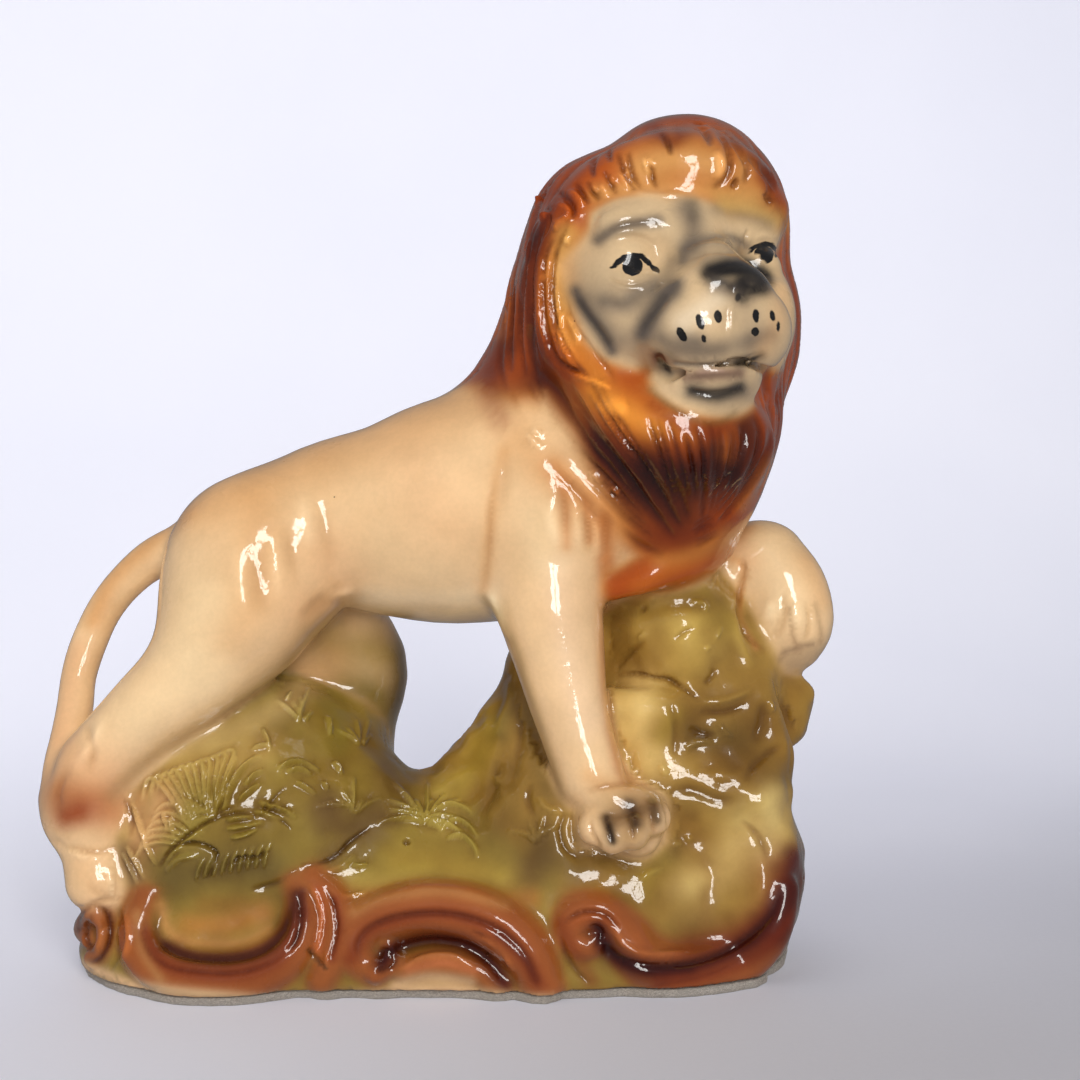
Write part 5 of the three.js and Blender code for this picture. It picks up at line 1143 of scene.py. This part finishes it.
# how hollow the surface is round each point
ed = np.empty(len(me.edges) * 2, np.int32)
me.edges.foreach_get("vertices", ed)
ed = ed.reshape(-1, 2)
acc, cnt, length = np.zeros((n, 3)), np.zeros(n), np.zeros(n)
L = np.linalg.norm(V[ed[:, 0]] - V[ed[:, 1]], axis=1)
for a, b in ((0, 1), (1, 0)):
    for c in range(3):
        acc[:, c] += np.bincount(ed[:, a], V[ed[:, b], c], n)
    cnt += np.bincount(ed[:, a], minlength=n)
    length += np.bincount(ed[:, a], L, n)
hollow = ((acc / cnt[:, None] - V) * N).sum(1) / np.maximum((length / cnt) ** 2, 1e-6) * 4.0
for again in range(3):
    h2 = np.zeros(n)
    for a, b in ((0, 1), (1, 0)):
        h2 += np.bincount(ed[:, a], hollow[ed[:, b]], n)
    hollow = 0.5 * hollow + 0.5 * h2 / cnt

W = soft_groups(group_distances(V), 1.6)
vis, face = visible(V, N, V)
R = relief(V, N, W, vis)


def soften(x, times=14):
    for again in range(times):
        y = np.bincount(ed[:, 0], x[ed[:, 1]], n) + np.bincount(ed[:, 1], x[ed[:, 0]], n)
        x = 0.4 * x + 0.6 * y / cnt
    return x


colour = paint(V, N, W, vis, R, hollow, soften)
u, v, _ = seen(V)
a = me.color_attributes.new("paint", "FLOAT_COLOR", "POINT")
a.data.foreach_set("color", np.c_[colour, np.ones(n)].astype(np.float32).ravel())
a = me.attributes.new("place", "FLOAT_VECTOR", "POINT")
a.data.foreach_set("vector", np.c_[u, v, np.zeros(n)].astype(np.float32).ravel())
a = me.attributes.new("front", "FLOAT", "POINT")
a.data.foreach_set("value", np.clip(vis * 3, 0, 1).astype(np.float32))
print("painted", round(time.time() - T0, 1))
del dense_V, dense_N


# ---------------------------------------------------------------- 5 lacquered paint
class Tree:
    """A short way to wire nodes."""

    def __init__(s, name):
        s.mat = bpy.data.materials.new(name)
        s.mat.use_nodes = True
        s.t = s.mat.node_tree
        s.t.nodes.clear()
        s.out = s.t.nodes.new("ShaderNodeOutputMaterial")

    def node(s, kind, ins=None, **props):
        n = s.t.nodes.new("ShaderNode" + kind)
        for k, x in props.items():
            setattr(n, k, x)
        for k, x in (ins or {}).items():
            sock = n.inputs[k]
            if isinstance(x, bpy.types.NodeSocket):
                s.t.links.new(x, sock)
            else:
                sock.default_value = x
        return n

    def math(s, op, a, b=0.0, clamp=False):
        return s.node("Math", {0: a, 1: b}, operation=op, use_clamp=clamp).outputs[0]

    def ramp(s, x, lo, hi, to_lo=0.0, to_hi=1.0, smooth=True):
        return s.node("MapRange", {"Value": x, "From Min": lo, "From Max": hi, "To Min": to_lo, "To Max": to_hi},
                      interpolation_type="SMOOTHSTEP" if smooth else "LINEAR").outputs["Result"]

    def mix(s, f, a, b, blend="MIX"):
        n = s.node("Mix", {"Factor": f}, data_type="RGBA", blend_type=blend)
        for sock, x in ((n.inputs[6], a), (n.inputs[7], b)):
            if isinstance(x, bpy.types.NodeSocket):
                s.t.links.new(x, sock)
            else:
                sock.default_value = x
        return n.outputs[2]


# brush marks on the face, as ellipses: across, down, half width, half height, turn in degrees
BLACK = [(632.5, 266.0, 10.4, 9.8, 0), (620.0, 260.6, 9.6, 3.0, -38), (613.6, 266.6, 4.0, 1.8, -12), (627.5, 256.6, 8.0, 3.2, -10), (637.0, 255.8, 8.4, 3.2, 6),
         (646.5, 261.0, 8.2, 2.9, 42), (654.6, 268.6, 6.4, 2.7, 38),
         (763.8, 254.9, 9.8, 9.6, 0), (751.6, 249.6, 6.4, 2.4, -40), (758.6, 245.6, 7.4, 2.5, -18), (766.5, 244.2, 7.8, 2.5, 4), (773.6, 247.6, 5.6, 2.5, 42), (776.6, 252.6, 2.4, 4.6, 10),
         (700.2, 321.9, 3.9, 8.2, -18), (718.1, 316.6, 4.2, 6.4, -10), (681.6, 334.3, 4.2, 7.8, -32), (704.0, 339.1, 2.4, 4.2, -15),
         (755.9, 315.9, 3.3, 6.8, -3), (772.5, 315.7, 2.6, 5.4, -14), (755.2, 331.7, 4.0, 4.7, -6), (778.2, 326.2, 1.9, 5.0, -5)]
# painted highlight: the white glint in the left eye's pupil; glaze() doesn't draw it
EYE_GLINT = [(635.0, 264.6, 3.4, 3.2, 0)]
NOSTRIL = [(738.0, 297.5, 3.2, 4.2, 10), (660.5, 358.5, 4.4, 6.2, -35), (666.5, 366.5, 2.6, 6.0, -40), (751.5, 359.2, 7.5, 1.7, -24)]


def glaze():
    t = Tree("painted_plaster")
    geo = t.node("TexCoord").outputs["Object"]
    base = t.node("Attribute", attribute_name="paint").outputs["Color"]
    place = t.node("Attribute", attribute_name="place").outputs["Vector"]
    front = t.node("Attribute", attribute_name="front").outputs["Fac"]
    # the brush wavers a little
    shake = t.node("TexNoise", {"Vector": place, "Scale": 0.16, "Detail": 2.0}).outputs["Color"]
    shake = t.node("VectorMath", {0: shake, 1: (0.5, 0.5, 0.5)}, operation="SUBTRACT").outputs[0]
    shake = t.node("VectorMath", {0: shake, 1: (2.6, 2.6, 0.0)}, operation="MULTIPLY").outputs[0]
    spot = t.node("VectorMath", {0: place, 1: shake}, operation="ADD").outputs[0]

    def marks(rows, soft):
        whole = None
        for x, y, rx, ry, turn in rows:
            m = t.node("Mapping", {"Vector": spot, "Location": (x, y, 0), "Rotation": (0, 0, math.radians(turn)), "Scale": (rx, ry, 1e6)}, vector_type="TEXTURE").outputs[0]
            d = t.node("VectorMath", {0: m}, operation="LENGTH").outputs["Value"]
            s = soft / min(rx, ry)
            one = t.ramp(d, 1 + s, 1 - s)
            whole = one if whole is None else t.math("MAXIMUM", whole, one)
        return t.math("MULTIPLY", whole, front)

    # brushed and sprayed colour isn't even: fine speckle of the spray, slow drift, small dark grains under the lacquer
    drift = t.node("TexNoise", {"Vector": geo, "Scale": 55.0, "Detail": 3.0, "Roughness": 0.6}).outputs["Fac"]
    grain = t.node("TexNoise", {"Vector": geo, "Scale": 900.0, "Detail": 2.0}).outputs["Fac"]
    tone = t.math("ADD", t.ramp(drift, 0.25, 0.75, 0.93, 1.06), t.ramp(grain, 0.3, 0.7, -0.018, 0.018))
    col = t.node("VectorMath", {0: base, 3: tone}, operation="SCALE").outputs[0]
    cell = t.node("TexVoronoi", {"Vector": geo, "Scale": 150.0}, feature="F1")
    rare = t.math("GREATER_THAN", t.node("SeparateColor", {0: cell.outputs["Color"]}).outputs[0], 0.90)
    size = t.ramp(t.node("SeparateColor", {0: cell.outputs["Color"]}).outputs[1], 0.0, 1.0, 0.016, 0.045, smooth=False)
    dot = t.math("LESS_THAN", cell.outputs["Distance"], size)
    speck = t.math("MULTIPLY", rare, dot)
    col = t.mix(t.math("MULTIPLY", speck, 0.75), col, (0.055, 0.028, 0.014, 1))
    streak = t.node("TexNoise", {"Vector": geo, "Scale": 240.0, "Detail": 4.0, "Roughness": 0.7}).outputs["Fac"]
    black = marks(BLACK, 0.55)
    pit = marks(NOSTRIL, 1.3)
    col = t.mix(t.math("MULTIPLY", pit, 0.9), col, (0.018, 0.015, 0.014, 1))
    col = t.mix(t.math("MULTIPLY", black, t.ramp(streak, 0.2, 0.5, 0.95, 1.0)), col, (0.006, 0.006, 0.007, 1))
    rough = t.ramp(t.node("TexNoise", {"Vector": geo, "Scale": 38.0, "Detail": 5.0}).outputs["Fac"], 0.3, 0.75, 0.24, 0.44)
    # lacquer: brushed on, so it has slow waves, pulled grain and a few dust pimples
    wave = t.node("TexNoise", {"Vector": geo, "Scale": 210.0, "Detail": 2.0, "Roughness": 0.45}).outputs["Fac"]
    fine = t.node("TexNoise", {"Vector": geo, "Scale": 1500.0, "Detail": 2.0}).outputs["Fac"]
    h = t.math("ADD", t.math("MULTIPLY", wave, 1.0), t.math("MULTIPLY", fine, 0.10))
    h = t.math("ADD", h, t.math("MULTIPLY", speck, 0.25))
    bump = t.node("Bump", {"Height": h, "Strength": 0.55, "Distance": 0.00022}).outputs[0]
    p = t.node("BsdfPrincipled", {"Base Color": col, "Roughness": rough, "Normal": bump, "IOR": 1.5, "Specular IOR Level": 0.12,
                                  "Coat Weight": 1.0, "Coat Roughness": 0.045, "Coat IOR": 1.5, "Coat Normal": bump})
    t.t.links.new(p.outputs[0], t.out.inputs["Surface"])
    return t.mat


me.materials.clear()
me.materials.append(glaze())
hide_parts("lion_figure")
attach(lion, "root")

# ---------------------------------------------------------------- 6 felt: one hand-cut sheet, glued under the foot
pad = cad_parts["felt_base_pad"]
co = np.array([q.co[:] for q in pad.data.vertices]) / MM
ang = np.arctan2(co[:, 1], co[:, 0])
top = float(co[:, 2].max())
ring = np.array(sorted({(round(float(t_), 4), round(float(x), 4), round(float(y), 4)) for t_, (x, y, z) in zip(ang, co) if math.hypot(x, y) > 5}))
closed = np.vstack([ring[:, 1:], ring[:1, 1:]])
step = np.r_[0, np.cumsum(np.linalg.norm(np.diff(closed, axis=0), axis=1))]
K = 620
s = np.linspace(0, step[-1], K, endpoint=False)
edge = np.stack([np.interp(s, step, closed[:, c]) for c in (0, 1)], 1)
tan = np.roll(edge, -1, 0) - np.roll(edge, 1, 0)
out = np.stack([tan[:, 1], -tan[:, 0]], 1) / np.linalg.norm(tan, axis=1, keepdims=True)
if (out * edge).sum() < 0:
    out = -out
levels = [(0.0, -0.9), (0.0, -0.35), (0.18, -0.08), (0.55, 0.0), (1.0, 0.05), (1.45, 0.0), (1.8, -0.12), (top, -0.45), (top, -1.0)]
rows = []
for z, o in levels:
    p3 = np.c_[edge, np.full(K, z)]
    fuzz = 0.16 * noise(p3 + 50, 0.9, 41) + 0.16 * noise(p3 + 50, 2.3, 42)
    zz = z + (0.10 * noise(p3, 1.7, 43) if 0.1 < z < top - 0.05 else 0)
    rows.append(np.c_[edge + out * (o + fuzz)[:, None], np.broadcast_to(zz, K)])
FV = np.vstack(rows + [np.array([[0, 0, 0.0], [0, 0, top]])])
FT = []
for r in range(len(levels) - 1):
    for i in range(K):
        a, b, c, d = r * K + i, r * K + (i + 1) % K, (r + 1) * K + (i + 1) % K, (r + 1) * K + i
        FT += [(a, b, c), (a, c, d)]
for i in range(K):
    j = (i + 1) % K
    FT.append((len(FV) - 2, j, i))
    FT.append((len(FV) - 1, (len(levels) - 1) * K + i, (len(levels) - 1) * K + j))
FT = np.array(FT)
vol = (FV[FT[:, 0]] * np.cross(FV[FT[:, 1]], FV[FT[:, 2]])).sum()
if vol < 0:
    FT = FT[:, ::-1]
felt = bpy.data.objects.new("felt_pad", to_mesh("felt_pad", FV, FT))
bpy.context.scene.collection.objects.link(felt)


def felt_cloth():
    t = Tree("felt")
    geo = t.node("TexCoord").outputs["Object"]
    fibre = t.node("Mapping", {"Vector": geo, "Scale": (1.0, 1.0, 2.6)}).outputs[0]
    a = t.node("TexNoise", {"Vector": fibre, "Scale": 1400.0, "Detail": 4.0, "Roughness": 0.75}).outputs["Fac"]
    b = t.node("TexNoise", {"Vector": geo, "Scale": 230.0, "Detail": 3.0, "Roughness": 0.6}).outputs["Fac"]
    hair = t.node("TexVoronoi", {"Vector": t.node("VectorMath", {0: fibre, 1: t.node("TexNoise", {"Vector": geo, "Scale": 420.0}).outputs["Color"]}, operation="ADD").outputs[0], "Scale": 900.0},
                  feature="DISTANCE_TO_EDGE").outputs["Distance"]
    col = t.mix(t.ramp(a, 0.35, 0.65), (0.40, 0.33, 0.265, 1), (0.80, 0.72, 0.62, 1))
    col = t.mix(t.ramp(b, 0.35, 0.7, 0.0, 0.65), col, (0.52, 0.46, 0.39, 1))
    col = t.mix(t.ramp(hair, 0.02, 0.10, 0.55, 0.0), col, (0.17, 0.14, 0.115, 1))
    h = t.math("ADD", a, t.math("MULTIPLY", hair, 1.5))
    bump = t.node("Bump", {"Height": h, "Strength": 0.9, "Distance": 0.00035}).outputs[0]
    rough = t.ramp(b, 0.3, 0.7, 0.88, 1.0)
    p = t.node("BsdfPrincipled", {"Base Color": col, "Roughness": rough, "Normal": bump, "Specular IOR Level": 0.15, "Sheen Weight": 0.35, "Sheen Roughness": 0.5})
    t.t.links.new(p.outputs[0], t.out.inputs["Surface"])
    return t.mat


felt.data.materials.append(felt_cloth())
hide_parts("felt_base_pad")
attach(felt, "root")

# ---------------------------------------------------------------- 7 floor, light and camera
profile = [(-1.6, 0.0), (-0.8, 0.0), (-0.3, 0.0), (0.0, 0.0), (0.25, 0.0)]
profile += [(0.25 + 0.45 * math.sin(a), 0.45 - 0.45 * math.cos(a)) for a in np.linspace(0, math.pi / 2, 14)[1:]]
profile += [(0.70, 0.9), (0.70, 2.2)]
xs = np.linspace(-2.2, 2.2, 9)
BV = np.array([(x, y, z) for y, z in profile for x in xs])
nx = len(xs)
BT = [(r * nx + c, r * nx + c + 1, (r + 1) * nx + c + 1, (r + 1) * nx + c) for r in range(len(profile) - 1) for c in range(nx - 1)]
bm = bpy.data.meshes.new("paper")
bm.from_pydata(BV.tolist(), [], BT)
bm.polygons.foreach_set("use_smooth", np.ones(len(bm.polygons), bool))
paper = bpy.data.objects.new("paper_floor", bm)
bpy.context.scene.collection.objects.link(paper)
t = Tree("paper")
geo = t.node("TexCoord").outputs["Object"]
a = t.node("TexNoise", {"Vector": geo, "Scale": 3.0, "Detail": 3.0}).outputs["Fac"]
b = t.node("TexNoise", {"Vector": geo, "Scale": 700.0, "Detail": 2.0}).outputs["Fac"]
col = t.mix(t.ramp(a, 0.3, 0.7), (0.66, 0.67, 0.74, 1), (0.71, 0.715, 0.775, 1))
# painted shade: the sheet darkens a little towards the near right
space = t.node("SeparateXYZ", {0: geo})
col = t.mix(t.ramp(t.math("SUBTRACT", space.outputs["Y"], t.math("MULTIPLY", space.outputs["X"], 0.9)), -0.22, 0.0, 0.42, 0.0), col, (0.30, 0.28, 0.27, 1))
bump = t.node("Bump", {"Height": b, "Strength": 0.2, "Distance": 0.0002}).outputs[0]
# painted light: the paper itself glows bluish white, more towards the back and the left, less high up the backdrop
where = t.node("SeparateXYZ", {0: geo})
paper_glow = t.ramp(t.math("SUBTRACT", where.outputs["Y"], t.math("MULTIPLY", where.outputs["X"], 0.55)), -0.35, 0.55, 0.0, 1.0)
paper_glow = t.math("MULTIPLY", paper_glow, t.ramp(where.outputs["Z"], 0.25, 1.1, 1.0, 0.45))
p = t.node("BsdfPrincipled", {"Base Color": col, "Roughness": t.ramp(b, 0.3, 0.7, 0.62, 0.74), "Normal": bump, "Specular IOR Level": 0.25,
                              "Emission Color": (0.86, 0.87, 1.0, 1), "Emission Strength": t.math("MULTIPLY", paper_glow, 0.42)})
t.t.links.new(p.outputs[0], t.out.inputs["Surface"])
bm.materials.append(t.mat)
paper.visible_glossy = False


def area(name, at, to, w, h, power, tint=(1, 1, 1)):
    L = bpy.data.lights.new(name, "AREA")
    L.shape, L.size, L.size_y, L.energy, L.color = "RECTANGLE", w, h, power, tint
    o = bpy.data.objects.new(name, L)
    o.location = at
    from mathutils import Vector
    o.rotation_euler = (Vector(to) - Vector(at)).to_track_quat("-Z", "Y").to_euler()
    bpy.context.scene.collection.objects.link(o)
    return o


AIM = (0.0, 0.0, 0.12)


def round_about(az, el, r):
    """A place r metres from the figure; azimuth 0 is the viewer's side, positive to the right."""
    a, e = math.radians(az), math.radians(el)
    return (r * math.sin(a) * math.cos(e), -r * math.cos(a) * math.cos(e), AIM[2] + r * math.sin(e))


# a tall window of four panes behind the viewer's right shoulder, and wide fills that don't show in the lacquer
for az in (4.0, 13.0):
    for el in (13.5, 31.5):
        area("pane_%d_%d" % (az, el), round_about(az, el, 1.5), AIM, 0.19, 0.43, 3.4, (1.0, 0.985, 0.96))
for name, az, el, w, power, tint in (("fill_left", -50, 42, 1.3, 4.6, (1.0, 0.99, 0.97)), ("fill_right", 62, 25, 0.9, 1.0, (0.92, 0.95, 1.0)),
                                     ("fill_low", -14, 2, 0.9, 4.2, (1.0, 0.97, 0.94))):
    area(name, round_about(az, el, 1.5), AIM, w, w, power, tint).visible_glossy = False
world = bpy.data.worlds.new("room")
world.use_nodes = True
world.node_tree.nodes["Background"].inputs["Color"].default_value = (0.94, 0.92, 0.94, 1)
world.node_tree.nodes["Background"].inputs["Strength"].default_value = 0.20
bpy.context.scene.world = world
bpy.context.scene.view_settings.view_transform = "Standard"

cam = bpy.data.cameras.new("camera")
cam.sensor_width, cam.lens = 36.0, FOCAL / 1080 * 36.0
cam.clip_start = 0.02
camera = bpy.data.objects.new("camera", cam)
camera.location = EYE * MM
camera.rotation_euler = (math.pi / 2 - DOWN, 0.0, -HEADING)
bpy.context.scene.collection.objects.link(camera)
bpy.context.scene.camera = camera
print("whole script", round(time.time() - T0, 1))
